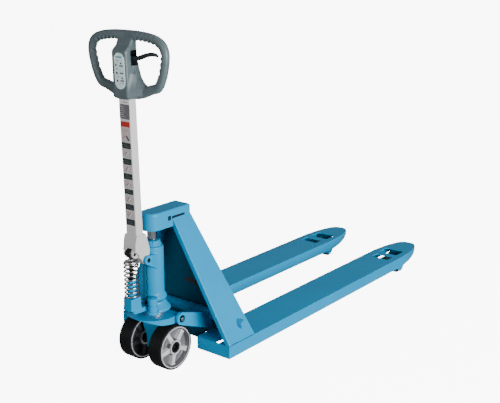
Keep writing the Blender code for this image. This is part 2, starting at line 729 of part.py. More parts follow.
# ---- steer wheels ---------------------------------------------------------------------


def build_steer_wheels():
    for side, sign in SIDES:
        body = f"steer_wheel_{side}"
        middle = sign * (WHEEL_IN + WHEEL_OUT) / 2
        half = (WHEEL_OUT - WHEEL_IN) / 2
        centre = (middle, STEER_Y, WHEEL_RADIUS)
        tread = WHEEL_RADIUS
        tyre = [(74, -half), (tread - 5, -half), (tread, -half + 5),
                (tread, half - 5), (tread - 5, half), (74, half)]
        finish(turned("tyre", tyre, "X", centre, 40), f"steer_tyre_{side}", body,
               material(f"steer_tyre_{side}_rubber", RUBBER, 0.7))
        face = sign * (half - 9)
        back = sign * -(half - 9)
        hub = sign * (half - 1)
        rim = [(AXLE_RADIUS + 9.4, -hub), (30, -hub), (34, back), (62, back), (66, -sign * half),
               (73.6, -sign * half), (73.6, sign * half), (70, sign * half), (67, face), (33, face),
               (30, hub), (AXLE_RADIUS + 9.4, hub)]
        made = turned("rim", rim, "X", centre, 32)
        windows = 5
        for i in range(windows):
            spread = 23.0
            at = 90.0 + 360.0 * i / windows
            outer = arc((0, 0), 62.0, at - spread, at + spread, 3)
            inner = arc((0, 0), 36.0, at + spread * 0.75, at - spread * 0.75, 1)
            pocket = [(STEER_Y + a, WHEEL_RADIUS + b) for a, b in outer + inner]
            reach = sign * half
            low, high = sorted((middle + reach - sign * 22, middle + reach + sign * 5))
            combine(made, slab("pocket", pocket, "X", low, high))
        finish(made, f"steer_rim_{side}", body,
               material(f"steer_rim_{side}_aluminium", ALUMINIUM, 0.35, 1.0), 35)
        bearing = ring("bearing", "X", centre, AXLE_RADIUS + GAP, AXLE_RADIUS + 9, -half + 2, half - 4, 20)
        finish(bearing, f"steer_bearing_{side}", body,
               material(f"steer_bearing_{side}_steel", (0.12, 0.12, 0.13), 0.45, 1.0))


# ---- handle ---------------------------------------------------------------------------


def lean(made):
    """Turn a piece drawn as (across, depth, along) into the handle's place."""
    foot = Matrix.Translation(Vector((0, *TUBE_FOOT)) * MM)
    made.data.transform(foot @ Matrix.Rotation(HANDLE_LEAN, 4, "X"))
    return made


def opening(sign):
    """The hole for a hand: a rounded shield, scalloped for the fingers along its top."""
    bumps = 5
    top = []
    for i in range(bumps * 3 + 1):
        t = i / (bumps * 3)
        x = 52 + 96 * t
        s = 692 - 13 * t * t - 1.6 * (1 - math.cos(2 * math.pi * bumps * t))
        top.append((x, s))
    outer = [(158, 670), (161, 650), (158, 630), (152, 618), (150, 600), (147, 575), (139, 555),
             (126, 540)]
    bottom = [(110, 534), (94, 538), (80, 552), (70, 575)]
    inner = [(65, 600), (63, 630), (60, 650), (48, 662), (41, 674), (43, 687)]
    return [(sign * x, s) for x, s in top + outer + bottom + inner]


def grip_outline():
    right = [(0, 728), (35, 727), (80, 723), (120, 716), (152, 706), (176, 690), (187, 666),
             (189, 640), (186, 608), (177, 572), (164, 545), (148, 526), (124, 513), (95, 509),
             (62, 503), (36, 493), (24, 488)]
    left = [(-x, s) for x, s in reversed(right[1:])]
    return right + left


def build_handle():
    y, z = HANDLE_PIVOT
    side = [(-176, 562), (-214, 562), (-222, 548), (-226, 520), (-228, 492), (-236, 476),
            (-231, 466), (-220, 461), (-208, 462), (-196, 452), (-189, 440), (-184, 430),
            (-171, 425), (-157, 431), (-152, 443), (-154, 455), (-151, 466), (-150, 480), (-168, 540)]
    made = slab("bracket", side, "X", -32, 32)
    fork = rounded([(-250, 445, 0), (-203, 445, 0), (-200, 470, 0), (-206, 490, 12), (-232, 496, 8),
                    (-250, 496, 0)], 4)
    combine(made, slab("fork", fork, "X", -13, 13))
    combine(made, slab("cam_pin", circle(CAM_PIN, 6 + GAP, 16), "X", -40, 40))
    combine(made, slab("pivot", circle(HANDLE_PIVOT, 8 + GAP, 20), "X", -40, 40))
    socket = lean(box("socket", (-TUBE_HALF[0] - GAP, -TUBE_HALF[1] - GAP, -22),
                      (TUBE_HALF[0] + GAP, TUBE_HALF[1] + GAP, 30)))
    combine(made, socket)
    silver = material("handle_bracket_casting", SILVER_PAINT, 0.4, 0.5)
    finish(made, "handle_bracket", "handle", silver)
    cam = ring("cam", "X", (0, *CAM_PIN), 6.4, CAM_RADIUS, -11, 11, 28)
    finish(cam, "cam_roller", "handle", material("cam_roller_steel", BLACK, 0.35, 0.8))
    pin = rod("pin", "X", (0, *CAM_PIN), 6.0, -34, 34)
    finish(pin, "cam_roller_pin", "handle", steel("cam_roller_pin"))

    a, b = TUBE_HALF
    outline = rounded([(-a, -b, TUBE_CORNER), (a, -b, TUBE_CORNER), (a, b, TUBE_CORNER),
                       (-a, b, TUBE_CORNER)], 4)
    wall = 2.5
    hollow = rounded([(-a + wall, -b + wall, 2), (a - wall, -b + wall, 2), (a - wall, b - wall, 2),
                      (-a + wall, b - wall, 2)], 2)
    tube = lean(slab("tube", outline, "Z", -21, TUBE_TOP, (hollow,)))
    finish(tube, "handle_tube", "handle", material("handle_tube_steel", SILVER_PAINT, 0.35, 0.6), 50)

    grip = slab("grip", grip_outline(), "Y", *GRIP_DEPTH, (opening(1), opening(-1)))
    waist = [(-COLUMN_HALF, 500), (COLUMN_HALF, 500), (COLUMN_HALF, 650), (22, 700), (-22, 700),
             (-COLUMN_HALF, 650)]
    combine(grip, slab("column", waist, "Y", *COLUMN_DEPTH), "UNION")
    combine(grip, box("socket", (-TUBE_HALF[0] - GAP, -TUBE_HALF[1] - GAP, 460),
                      (TUBE_HALF[0] + GAP, TUBE_HALF[1] + GAP, TUBE_TOP + GAP)))
    combine(grip, box("lever_slot", (8, -11, 612), (78, 11, 662)))
    lean(grip)
    finish(grip, "handle_grip", "handle", material("handle_grip_plastic", GRIP_GREY, 0.55))

    plate = [*arc((0, 632), 20, 0, 180, 10), *arc((0, 542), 20, 180, 360, 10)]
    made = lean(slab("plate", plate, "Y", COLUMN_DEPTH[0] - 1.6, COLUMN_DEPTH[0] - GAP))
    finish(made, "instruction_plate", "handle", material("instruction_plate_print", LABEL, 0.4))


def build_control_lever():
    """The finger lever: a curved blade that leaves the column and ends under the right grip."""
    spine = [(24, 632), (50, 633), (75, 640), (100, 649), (120, 652.5), (137, 650), (149, 645)]
    width = [7.5, 6.5, 5.5, 5.0, 4.8, 4.6, 4.0]
    upper = [(x, s + w) for (x, s), w in zip(spine, width)]
    lower = [(x, s - w) for (x, s), w in zip(spine, width)]
    outline = [*arc(LEVER_PIVOT, 7.5, 90, 270, 6), *lower[1:], (152, 644), *reversed(upper[1:])]
    made = lean(slab("lever", outline, "Y", -7, 7, (circle(LEVER_PIVOT, 3.4, 12),)))
    finish(made, "control_lever", "control_lever", material("control_lever_plastic", BLACK, 0.4))
    pin = turned("pin", [(0, -9), (3, -9), (3, 9), (0, 9)], "Y",
                 (LEVER_PIVOT[0], 0, LEVER_PIVOT[1]), 12)
    finish(lean(pin), "control_lever_pin", "handle", steel("control_lever_pin"))


def main():
    for item in list(bpy.data.objects):
        bpy.data.objects.remove(item)
    base = bpy.data.objects.new("floor_origin", None)
    bpy.context.collection.objects.link(base)
    base.location = (0, -CENTRE_Y * MM, 0)
    for body, (parent, pivot) in BODIES.items():
        empty = bpy.data.objects.new(f"joint_{body}", None)
        bpy.context.collection.objects.link(empty)
        above = Vector(BODIES[parent][1]) if parent else Vector((0, 0, 0))
        empty.parent = empties[parent] if parent else base
        empty.location = (Vector(pivot) - above) * MM
        empties[body] = empty
    build_frame()
    build_rocker()
    build_push_rods()
    build_load_wheels()
    build_bearing_bracket()
    build_pump()
    build_spring()
    build_plunger()
    build_release()
    build_steer_wheels()
    build_handle()
    build_control_lever()


main()
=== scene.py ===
"""The looks of a hand pallet truck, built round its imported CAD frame.

Sizes are millimetres in the truck's own terms: x to the right, y from the front of the fork heels
towards the tips, z up from the floor. Places come from the frame wherever a CAD piece marks them.
"""

import json
import math
import random

import bmesh
import bpy
from mathutils import Matrix, Vector
from mathutils.geometry import tessellate_polygon

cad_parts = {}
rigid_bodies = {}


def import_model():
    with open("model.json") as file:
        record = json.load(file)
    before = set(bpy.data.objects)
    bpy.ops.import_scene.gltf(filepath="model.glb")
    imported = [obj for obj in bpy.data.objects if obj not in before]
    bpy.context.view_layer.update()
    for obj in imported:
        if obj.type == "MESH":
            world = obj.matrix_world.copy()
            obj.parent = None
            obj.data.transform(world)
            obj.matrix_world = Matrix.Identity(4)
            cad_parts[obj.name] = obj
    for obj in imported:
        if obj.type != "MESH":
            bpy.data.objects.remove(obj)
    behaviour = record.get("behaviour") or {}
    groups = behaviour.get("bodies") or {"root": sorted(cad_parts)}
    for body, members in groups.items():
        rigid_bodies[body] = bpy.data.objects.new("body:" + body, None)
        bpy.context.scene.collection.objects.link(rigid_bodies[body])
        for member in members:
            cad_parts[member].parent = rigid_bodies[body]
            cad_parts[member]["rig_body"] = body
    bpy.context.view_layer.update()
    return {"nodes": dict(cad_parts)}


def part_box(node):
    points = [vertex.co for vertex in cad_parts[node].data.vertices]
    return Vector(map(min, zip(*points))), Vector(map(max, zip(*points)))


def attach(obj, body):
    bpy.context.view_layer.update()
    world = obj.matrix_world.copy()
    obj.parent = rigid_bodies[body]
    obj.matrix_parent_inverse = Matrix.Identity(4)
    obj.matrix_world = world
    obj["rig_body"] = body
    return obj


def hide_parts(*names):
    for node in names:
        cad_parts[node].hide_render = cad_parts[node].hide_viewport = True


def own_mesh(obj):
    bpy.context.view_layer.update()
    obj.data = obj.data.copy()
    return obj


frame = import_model()
MM = 0.001
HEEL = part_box("fork_right")[0].y
SIDES = (("left", -1), ("right", 1))


def corners(node):
    """A CAD node's lowest and highest corners, in millimetres from the heel."""
    found = []
    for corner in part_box(node):
        found.append(Vector((corner.x, corner.y - HEEL, corner.z)) / MM)
    return found


def middle(node):
    low, high = corners(node)
    return (low + high) / 2


def half_size(node):
    low, high = corners(node)
    return (high - low) / 2


def body_of(node):
    return frame["nodes"][node]["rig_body"]


# ---- materials ------------------------------------------------------------------------


def new_node(tree, kind, **inputs):
    made = tree.nodes.new(kind)
    for name, value in inputs.items():
        made.inputs[name.replace("_", " ")].default_value = value
    return made


def noise(tree, scale, detail=3.0, stretch=(1, 1, 1)):
    """A noise over the piece's own coordinates, in features per metre."""
    where = new_node(tree, "ShaderNodeTexCoord")
    grid = new_node(tree, "ShaderNodeMapping", Scale=stretch)
    made = new_node(tree, "ShaderNodeTexNoise", Scale=scale, Detail=detail)
    tree.links.new(where.outputs["Object"], grid.inputs["Vector"])
    tree.links.new(grid.outputs["Vector"], made.inputs["Vector"])
    return made.outputs["Fac"]


def ramp(tree, source, stops):
    """A value or colour ramp through (position, grey or colour) stops."""
    made = new_node(tree, "ShaderNodeValToRGB")
    scale = made.color_ramp
    while len(scale.elements) < len(stops):
        scale.elements.new(0.5)
    for element, (place, value) in zip(scale.elements, stops):
        element.position = place
        element.color = (*value, 1) if isinstance(value, tuple) else (value, value, value, 1)
    tree.links.new(source, made.inputs["Fac"])
    return made.outputs["Color"]


def blend_colour(tree, factor, one, two):
    """Colour one where the factor is 0 and two where it is 1; each is a colour or a socket."""
    made = new_node(tree, "ShaderNodeMix")
    made.data_type = "RGBA"
    tree.links.new(factor, made.inputs["Factor"])
    for name, value in (("A", one), ("B", two)):
        socket = [s for s in made.inputs if s.name == name and s.type == "RGBA"][0]
        if isinstance(value, tuple):
            socket.default_value = (*value, 1)
        else:
            tree.links.new(value, socket)
    return [s for s in made.outputs if s.type == "RGBA"][0]


def edges(tree, radius, low, high):
    """1 along sharp edges and 0 on flats, from how a bevelled normal differs from the true one."""
    soft = new_node(tree, "ShaderNodeBevel", Radius=radius * MM)
    soft.samples = 4
    true = new_node(tree, "ShaderNodeNewGeometry")
    product = new_node(tree, "ShaderNodeVectorMath")
    product.operation = "DOT_PRODUCT"
    tree.links.new(soft.outputs["Normal"], product.inputs[0])
    tree.links.new(true.outputs["Normal"], product.inputs[1])
    return ramp(tree, product.outputs["Value"], ((1 - high, 1.0), (1 - low, 0.0)))


def bump(tree, height, strength, distance):
    made = new_node(tree, "ShaderNodeBump", Strength=strength, Distance=distance * MM)
    tree.links.new(height, made.inputs["Height"])
    return made.outputs["Normal"]


def surface(name, metallic=0.0, coat=0.0, coat_rough=0.1, specular=0.5, sheen=0.0):
    made = bpy.data.materials.new(name)
    made.use_nodes = True
    shader = made.node_tree.nodes["Principled BSDF"]
    shader.inputs["Metallic"].default_value = metallic
    shader.inputs["Coat Weight"].default_value = coat
    shader.inputs["Coat Roughness"].default_value = coat_rough
    shader.inputs["Specular IOR Level"].default_value = specular
    shader.inputs["Sheen Weight"].default_value = sheen
    return made, made.node_tree, shader


def wire(tree, shader, colour=None, roughness=None, normal=None):
    for name, source in (("Base Color", colour), ("Roughness", roughness), ("Normal", normal)):
        if source is not None:
            tree.links.new(source, shader.inputs[name])


def shade(colour, factor):
    return tuple(min(1.0, channel * factor) for channel in colour)


def paint_look(name, colour, rough=0.30, coat=0.06, edge_highlight_gain=1.3):
    """Sprayed enamel: a slight waviness, slow tone drift, a film of dust and a painted highlight along the
    edges.
    """
    made, tree, shader = surface(name, coat=coat, coat_rough=0.1, specular=0.2)
    drift = ramp(tree, noise(tree, 7.0, 4.0), ((0.3, shade(colour, 0.95)), (0.7, shade(colour, 1.04))))
    dust = ramp(tree, noise(tree, 26.0, 8.0), ((0.45, 0.0), (0.85, 0.006)))
    dusty = blend_colour(tree, dust, drift, (0.42, 0.50, 0.52))
    # Painted highlight: the edges are coloured lighter to stand for light catching them, not for wear.
    painted_edge_highlight = blend_colour(tree, edges(tree, 1.4, 0.02, 0.30), dusty, shade(colour, edge_highlight_gain))
    gloss = ramp(tree, noise(tree, 14.0, 3.0), ((0.35, rough - 0.02), (0.7, rough + 0.04)))
    wave = noise(tree, 24.0, 2.0)
    wire(tree, shader, painted_edge_highlight, gloss, bump(tree, wave, 0.03, 0.4))
    return made


def metal_look(name, colour, rough=0.3, grain=(1, 1, 1), depth=0.12, scale=350.0, metallic=1.0):
    """Bare or plated metal: directional grain, smudges and brighter edges."""
    made, tree, shader = surface(name, metallic=metallic)
    tone = ramp(tree, noise(tree, 30.0, 6.0), ((0.3, shade(colour, 0.78)), (0.7, shade(colour, 1.06))))
    rubbed = blend_colour(tree, edges(tree, 1.0, 0.02, 0.3), tone, shade(colour, 1.35))
    gloss = ramp(tree, noise(tree, 90.0, 8.0, grain), ((0.3, rough * 0.7), (0.75, rough * 1.5)))
    lines = noise(tree, scale, 4.0, grain)
    wire(tree, shader, rubbed, gloss, bump(tree, lines, depth, 0.3))
    return made


def rubber_look(name, colour, rough=0.62):
    """Moulded rubber: fine pebble, scuffs and grey dust in the low spots."""
    made, tree, shader = surface(name, specular=0.14, sheen=0.02)
    scuff = ramp(tree, noise(tree, 45.0, 10.0), ((0.52, 0.0), (0.8, 0.3)))
    tone = blend_colour(tree, scuff, colour, shade(colour, 2.2))
    rub = blend_colour(tree, edges(tree, 1.5, 0.02, 0.3), tone, shade(colour, 2.2))
    gloss = ramp(tree, noise(tree, 70.0, 5.0), ((0.3, rough - 0.12), (0.7, rough + 0.15)))
    wire(tree, shader, rub, gloss, bump(tree, noise(tree, 1400.0, 3.0), 0.25, 0.2))
    return made


def plastic_look(name, colour, rough=0.45, grain=0.3, scale=1500.0):
    """Moulded plastic with a fine spark-eroded grain that is polished where hands touch."""
    made, tree, shader = surface(name, specular=0.45)
    tone = ramp(tree, noise(tree, 14.0, 5.0), ((0.3, shade(colour, 0.86)), (0.7, shade(colour, 1.12))))
    rubbed = blend_colour(tree, edges(tree, 2.0, 0.02, 0.3), tone, shade(colour, 1.5))
    gloss = ramp(tree, noise(tree, 22.0, 6.0), ((0.3, rough - 0.08), (0.7, rough + 0.1)))
    wire(tree, shader, rubbed, gloss, bump(tree, noise(tree, scale, 2.0), grain, 0.12))
    return made


def print_look(name, colour, rough=0.4):
    """Screen-printed film: slightly uneven ink under a satin laminate."""
    made, tree, shader = surface(name, specular=0.4, coat=0.15, coat_rough=0.3)
    tone = ramp(tree, noise(tree, 120.0, 6.0), ((0.35, shade(colour, 0.84)), (0.65, shade(colour, 1.08))))
    gloss = ramp(tree, noise(tree, 200.0, 4.0), ((0.3, rough - 0.06), (0.7, rough + 0.08)))
    wire(tree, shader, tone, gloss, bump(tree, noise(tree, 500.0, 2.0), 0.05, 0.1))
    return made


BLUE = (0.0, 0.270, 0.530)
PAINT = paint_look("blue_enamel", BLUE)
# A darker copy of the blue enamel: painted shade, for plates, levers and rods that sit in shade inside the
# frame.
SHADED_PAINT = paint_look("blue_enamel_painted_shade", (0.0, 0.095, 0.165), 0.45, 0.03)
CAST_PAINT = paint_look("blue_enamel_on_casting", shade(BLUE, 0.95), 0.34, edge_highlight_gain=1.0)
STEEL = metal_look("zinc_plate", (0.62, 0.62, 0.63), 0.32)
CHROME = metal_look("hard_chrome", (0.74, 0.76, 0.80), 0.16, (1, 1, 0.02), 0.03)
SPRING_STEEL = metal_look("bright_spring_wire", (0.52, 0.52, 0.50), 0.20, (1, 1, 0.2), 0.08)
DARK_STEEL = metal_look("blackened_steel", (0.035, 0.037, 0.04), 0.38)
CAST_ALUMINIUM = metal_look("cast_aluminium", (0.74, 0.74, 0.75), 0.40, depth=0.25, scale=260.0,
                            metallic=0.35)
DARK_ALUMINIUM = metal_look("cast_aluminium_web", (0.15, 0.15, 0.16), 0.5, depth=0.6, scale=160.0,
                            metallic=0.3)
# A near-black copy of the cast aluminium: painted shade for the wheel's inner face.
SHADED_ALUMINIUM = metal_look("cast_aluminium_painted_shade", (0.050, 0.055, 0.055), 0.5, depth=0.4, metallic=0.3)
TURNED_ALUMINIUM = metal_look("turned_aluminium", (0.86, 0.86, 0.87), 0.22, (0.05, 1, 1), 0.06,
                              metallic=0.5)
TUBE_PAINT = paint_look("silver_enamel", (0.63, 0.605, 0.60), 0.36, 0.15)
CASTING_PAINT = paint_look("silver_enamel_on_casting", (0.56, 0.555, 0.55), 0.42, 0.1)
TYRE = rubber_look("tyre_rubber", (0.0045, 0.0055, 0.006), 0.5)
SEAL = rubber_look("seal_rubber", (0.002, 0.085, 0.150), 0.5)
NYLON = plastic_look("roller_nylon", (0.030, 0.032, 0.034), 0.38)
GRIP = plastic_look("grip_plastic", (0.098, 0.135, 0.146), 0.40)
BLACK_PLASTIC = plastic_look("black_plastic", (0.010, 0.015, 0.016), 0.3, 0.12)
PRINT_PALE = print_look("label_pale", (0.55, 0.50, 0.50))
PRINT_PLATE = print_look("label_plate", (0.74, 0.94, 0.96))
PRINT_WHITE = print_look("label_white", (0.85, 0.85, 0.86))
PRINT_DARK = print_look("label_dark", (0.020, 0.032, 0.036))
PRINT_GREY = print_look("label_grey", (0.14, 0.14, 0.15))
PRINT_TEAL = print_look("label_teal", (0.10, 0.34, 0.42))
PRINT_RED = print_look("label_red", (0.48, 0.02, 0.015))
PRINT_ROSE = print_look("label_rose", (0.55, 0.28, 0.30))
PRINT_NAVY = print_look("label_navy", (0.004, 0.010, 0.022))
PRINT_BROWN = print_look("label_brown", (0.085, 0.030, 0.022))


# ---- meshes, in millimetres from the heel ---------------------------------------------


def mesh_from(name, points, faces):
    mesh = bpy.data.meshes.new(name)
    mesh.from_pydata([Vector(p) * MM + Vector((0, HEEL, 0)) for p in points], [], faces)
    work = bmesh.new()
    work.from_mesh(mesh)
    bmesh.ops.recalc_face_normals(work, faces=work.faces)
    work.to_mesh(mesh)
    work.free()
    return mesh


def raw_object(name, mesh):
    made = bpy.data.objects.new(name, mesh)
    bpy.context.scene.collection.objects.link(made)
    return made


def put(axis, level, point):
    """A 2D outline point placed on a plane across the named axis."""
    a, b = point
    return {"X": (level, a, b), "Y": (a, level, b), "Z": (a, b, level)}[axis]


def slab(name, outline, axis, low, high, holes=()):
    """An outline with holes, drawn across an axis and extruded between two levels."""
    loops = [list(outline), *[list(hole) for hole in holes]]
    flat = [point for loop in loops for point in loop]
    caps = tessellate_polygon([[Vector((a, b, 0)) for a, b in loop] for loop in loops])
    count = len(flat)
    points = [put(axis, low, p) for p in flat] + [put(axis, high, p) for p in flat]
    faces = [tuple(cap) for cap in caps]
    faces += [tuple(index + count for index in reversed(cap)) for cap in caps]
    start = 0
    for loop in loops:
        size = len(loop)
        for i in range(size):
            a, b = start + i, start + (i + 1) % size
            faces.append((a, b, b + count, a + count))
        start += size
    return raw_object(name, mesh_from(name, points, faces))


def box(name, low, high):
    x0, y0, z0 = low
    x1, y1, z1 = high
    return slab(name, [(x0, y0), (x1, y0), (x1, y1), (x0, y1)], "Z", z0, z1)


def loft(name, rings, closed=False):
    """A body through rings of equal point count, capped at both ends or joined end to end."""
    size = len(rings[0])
    count = len(rings)
    points = [point for ring in rings for point in ring]
    faces = []
    if not closed:
        faces = [tuple(range(size)), tuple(range(len(points) - size, len(points)))]
    for level in range(count if closed else count - 1):
        above = (level + 1) % count
        for i in range(size):
            j = (i + 1) % size
            faces.append((level * size + i, level * size + j, above * size + j, above * size + i))
    return raw_object(name, mesh_from(name, points, faces))


def turned(name, profile, axis, centre, sides=72):
    """Revolve (radius, height) points about an axis; a profile off the axis closes on itself."""
    points, rings = [], []
    for radius, height in profile:
        if radius == 0:
            rings.append([len(points)])
            ring = [(0.0, 0.0)]
        else:
            rings.append(list(range(len(points), len(points) + sides)))
            turns = [2 * math.pi * i / sides for i in range(sides)]
            ring = [(radius * math.cos(t), radius * math.sin(t)) for t in turns]
        for a, b in ring:
            points.append(Vector(put(axis, height, (a, b))) + Vector(centre))
    pairs = list(zip(rings, rings[1:]))
    if all(radius > 0 for radius, _ in profile):
        pairs.append((rings[-1], rings[0]))
    faces = []
    for one, two in pairs:
        for i in range(sides):
            j = (i + 1) % sides
            if len(one) == 1 and len(two) > 1:
                faces.append((one[0], two[i], two[j]))
            elif len(two) == 1 and len(one) > 1:
                faces.append((one[i], one[j], two[0]))
            elif len(one) > 1:
                faces.append((one[i], one[j], two[j], two[i]))
    return raw_object(name, mesh_from(name, points, faces))


def arc(centre, radius, start, end, steps):
    """Points on an arc, its angles in degrees."""
    turns = [math.radians(start + (end - start) * i / steps) for i in range(steps + 1)]
    return [(centre[0] + radius * math.cos(t), centre[1] + radius * math.sin(t)) for t in turns]


def circle(centre, radius, sides=40):
    return arc(centre, radius, 0, 360 - 360 / sides, sides - 1)


def rounded(spots, steps=5):
    """A polygon whose corners, given as (a, b, radius), are filleted."""
    outline = []
    count = len(spots)
    for i, (a, b, radius) in enumerate(spots):
        here = Vector((a, b))
        before = Vector(spots[i - 1][:2]) - here
        after = Vector(spots[(i + 1) % count][:2]) - here
        if radius <= 0:
            outline.append((a, b))
            continue
        before.normalize()
        after.normalize()
        half = before.angle(after) / 2
        reach = radius / math.tan(half)
        pivot = here + (before + after).normalized() * (radius / math.sin(half))
        first = here + before * reach - pivot
        turn = first.angle_signed(here + after * reach - pivot)
        for k in range(steps + 1):
            spot = first.copy()
            spot.rotate(Matrix.Rotation(-turn * k / steps, 2))
            outline.append(tuple(pivot + spot))
    return outline


def rectangle(low, high, radius, steps=5):
    """A rectangle between two opposite corners, with equal fillets."""
    (a0, b0), (a1, b1) = low, high
    return rounded([(a0, b0, radius), (a1, b0, radius), (a1, b1, radius), (a0, b1, radius)], steps)


def link_outline(spots, steps=16):
    """The outline round circles (a, b, radius) joined in a row by tangents."""
    hull = []
    for a, b, radius in spots:
        hull += circle((a, b), radius, steps * 2)
    hull = sorted(set((round(a, 5), round(b, 5)) for a, b in hull))

    def half(points):
        chain = []
        for p in points:
            while len(chain) > 1 and (
                (chain[-1][0] - chain[-2][0]) * (p[1] - chain[-2][1])
                - (chain[-1][1] - chain[-2][1]) * (p[0] - chain[-2][0])
            ) <= 0:
                chain.pop()
            chain.append(p)
        return chain[:-1]

    return half(hull) + half(hull[::-1])


def curve_through(spots, per_span=8):
    """A smooth Catmull-Rom line through points of any size."""
    last = len(spots) - 1
    line = []
    for i in range(last):
        p0, p1, p2, p3 = [Vector(spots[max(0, min(last, i + k))]) for k in (-1, 0, 1, 2)]
        for k in range(per_span):
            t = k / per_span
            line.append(0.5 * (2 * p1 + (p2 - p0) * t + (2 * p0 - 5 * p1 + 4 * p2 - p3) * t * t
                               + (3 * p1 - p0 - 3 * p2 + p3) * t ** 3))
    line.append(Vector(spots[-1]))
    return line


def tube(name, line, radius, sides=12, closed=False):
    """A round bar along a 3D line, its frames carried along without twist."""
    count = len(line)
    rings = []
    side = None
    for i, here in enumerate(line):
        ahead = line[(i + 1) % count] if closed or i < count - 1 else here
        behind = line[i - 1] if closed or i > 0 else here
        along = (ahead - behind).normalized()
        if side is None:
            side = along.orthogonal().normalized()
        side = (side - along * side.dot(along)).normalized()
        other = along.cross(side)
        turns = [2 * math.pi * k / sides for k in range(sides)]
        thick = radius(i / max(1, count - 1)) if callable(radius) else radius
        rings.append([here + (side * math.cos(t) + other * math.sin(t)) * thick for t in turns])
    return loft(name, rings, closed)


def evaluated(target):
    """Apply the object's modifiers to its mesh."""
    bpy.context.view_layer.update()
    shape = target.evaluated_get(bpy.context.evaluated_depsgraph_get())
    result = bpy.data.meshes.new_from_object(shape)
    target.modifiers.clear()
    target.data = result
    return target


def combine(target, tool, operation="DIFFERENCE"):
    """Apply a Boolean and drop the tool."""
    change = target.modifiers.new(operation.lower(), "BOOLEAN")
    change.operation = operation
    change.solver = "EXACT"
    change.object = tool
    evaluated(target)
    bpy.data.objects.remove(tool)
    return target


def joined(name, made):
    """Several objects as one piece; each keeps its own closed shell."""
    work = bmesh.new()
    looks = []
    for item in made:
        offset = len(looks)
        looks += list(item.data.materials)
        before = len(work.faces)
        work.from_mesh(item.data)
        work.faces.ensure_lookup_table()
        for face in work.faces[before:]:
            face.material_index += offset
    mesh = bpy.data.meshes.new(name)
    work.to_mesh(mesh)
    work.free()
    for look in looks:
        mesh.materials.append(look)
    for item in made:
        bpy.data.objects.remove(item)
    return raw_object(name, mesh)


def clean(target):
    """Merge split points and melt the facets of flat faces together."""
    work = bmesh.new()
    work.from_mesh(target.data)
    bmesh.ops.remove_doubles(work, verts=work.verts, dist=1e-5)
    bmesh.ops.dissolve_limit(work, angle_limit=math.radians(0.6), verts=work.verts, edges=work.edges)
    bmesh.ops.recalc_face_normals(work, faces=work.faces)
    work.to_mesh(target.data)
    work.free()
    return target


def soften(target, width, segments=3, angle=32, smooth=40):
    """Round the edges sharper than the angle, then shade smooth."""
    if width:
        change = target.modifiers.new("bevel", "BEVEL")
        change.width = width * MM
        change.segments = segments
        change.limit_method = "ANGLE"
        change.angle_limit = math.radians(angle)
        change.use_clamp_overlap = True
        change.miter_outer = "MITER_ARC"
        evaluated(target)
    target.data.shade_smooth()
    target.data.set_sharp_from_angle(angle=math.radians(smooth))
    weigh = target.modifiers.new("normals", "WEIGHTED_NORMAL")
    weigh.keep_sharp = True
    weigh.weight = 60
    return evaluated(target)


def melt(target, voxel, rounds):
    """Fuse overlapping shells into one skin and relax it, as a casting or moulding is."""
    change = target.modifiers.new("fuse", "REMESH")
    change.mode = "VOXEL"
    change.voxel_size = voxel * MM
    change.adaptivity = 0.0
    relax = target.modifiers.new("relax", "SMOOTH")
    relax.factor = 0.5
    relax.iterations = rounds
    evaluated(target)
    target.data.shade_smooth()
    return target


def finish(made, name, body, look, slot, *replaced):
    """Name a piece, give it its material, and let it ride on its body in place of CAD nodes."""
    made.name = name
    made.data.name = name
    if look is not None:
        made.data.materials.clear()
        made.data.materials.append(look)
    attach(made, body)
    if replaced:
        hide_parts(*replaced)


def copy_of(node):
    """The CAD node's solid as a new object, its flat faces whole again."""
    return clean(raw_object(f"{node}_shape", frame["nodes"][node].data.copy()))


def refined(node, look, slot, width=1.2, segments=3, angle=32):
    """The CAD node's own shape with rounded edges, as a new piece on the same body."""
    made = soften(copy_of(node), width, segments, angle)
    finish(made, f"{node}_finished", body_of(node), look, slot, node)


def span(sign, low, high):
    """Two levels along x for the side asked for, in order."""
    return (low, high) if sign > 0 else (-high, -low)


# ---- forks ----------------------------------------------------------------------------

FORK_TOP = corners("fork_right")[1].z
FORK_OUT = corners("fork_right")[1].x
HEEL_END = 147.0
FORK_OPENINGS = ((154, 252, 1314, 1384), (165, 252, 1230, 1280))  # inner, outer, near and far edges
FORK_GAP = corners("fork_right")[0].x - 0.6


def round_top_edges(target, level, after, radius):
    """Roll the top edges of a plate: every rim edge at the level, behind the A-frame."""
    work = bmesh.new()
    work.from_mesh(target.data)
    chosen = []
    for edge in work.edges:
        ends = [(v.co - Vector((0, HEEL, 0))) / MM for v in edge.verts]
        flat = all(abs(end.z - level) < 0.05 and end.y > after for end in ends)
        steep = [f for f in edge.link_faces if abs(f.normal.z) < 0.3]
        level_faces = [f for f in edge.link_faces if f.normal.z > 0.9]
        if flat and steep and level_faces:
            chosen.append(edge)
    bmesh.ops.bevel(work, geom=chosen, offset=radius * MM, segments=4, affect="EDGES", profile=0.5,
                    clamp_overlap=True)
    work.to_mesh(target.data)
    work.free()
    return target


def build_forks():
    for side, sign in SIDES:
        node = f"fork_{side}"
        made = copy_of(node)
        for inner, outer, near, far in FORK_OPENINGS:
            opening = rectangle((sign * inner, near), (sign * outer, far), 8, 4)
            combine(made, slab("opening", opening, "Z", FORK_TOP - 12, FORK_TOP + 10))
        made = round_top_edges(clean(made), FORK_TOP, HEEL_END + 2, 3.6)
        soften(made, 0.9, 2, 35)
        finish(made, f"{node}_sheet", "root", PAINT, "frame_paint", node)


def build_gussets():
    """The cross plate inside each tip, ahead of the load roller."""
    place, thick, foot = 1397, 4, 64
    for side, sign in SIDES:
        low, high = span(sign, 176, FORK_OUT - 12)
        plate = box("gusset", (low, place, foot), (high, place + thick, FORK_TOP - 5))
        soften(plate, 0.8, 2)
        # The gusset takes the blue's painted-shade copy.
        finish(plate, f"fork_gusset_{side}", "root", SHADED_PAINT, "frame_paint")


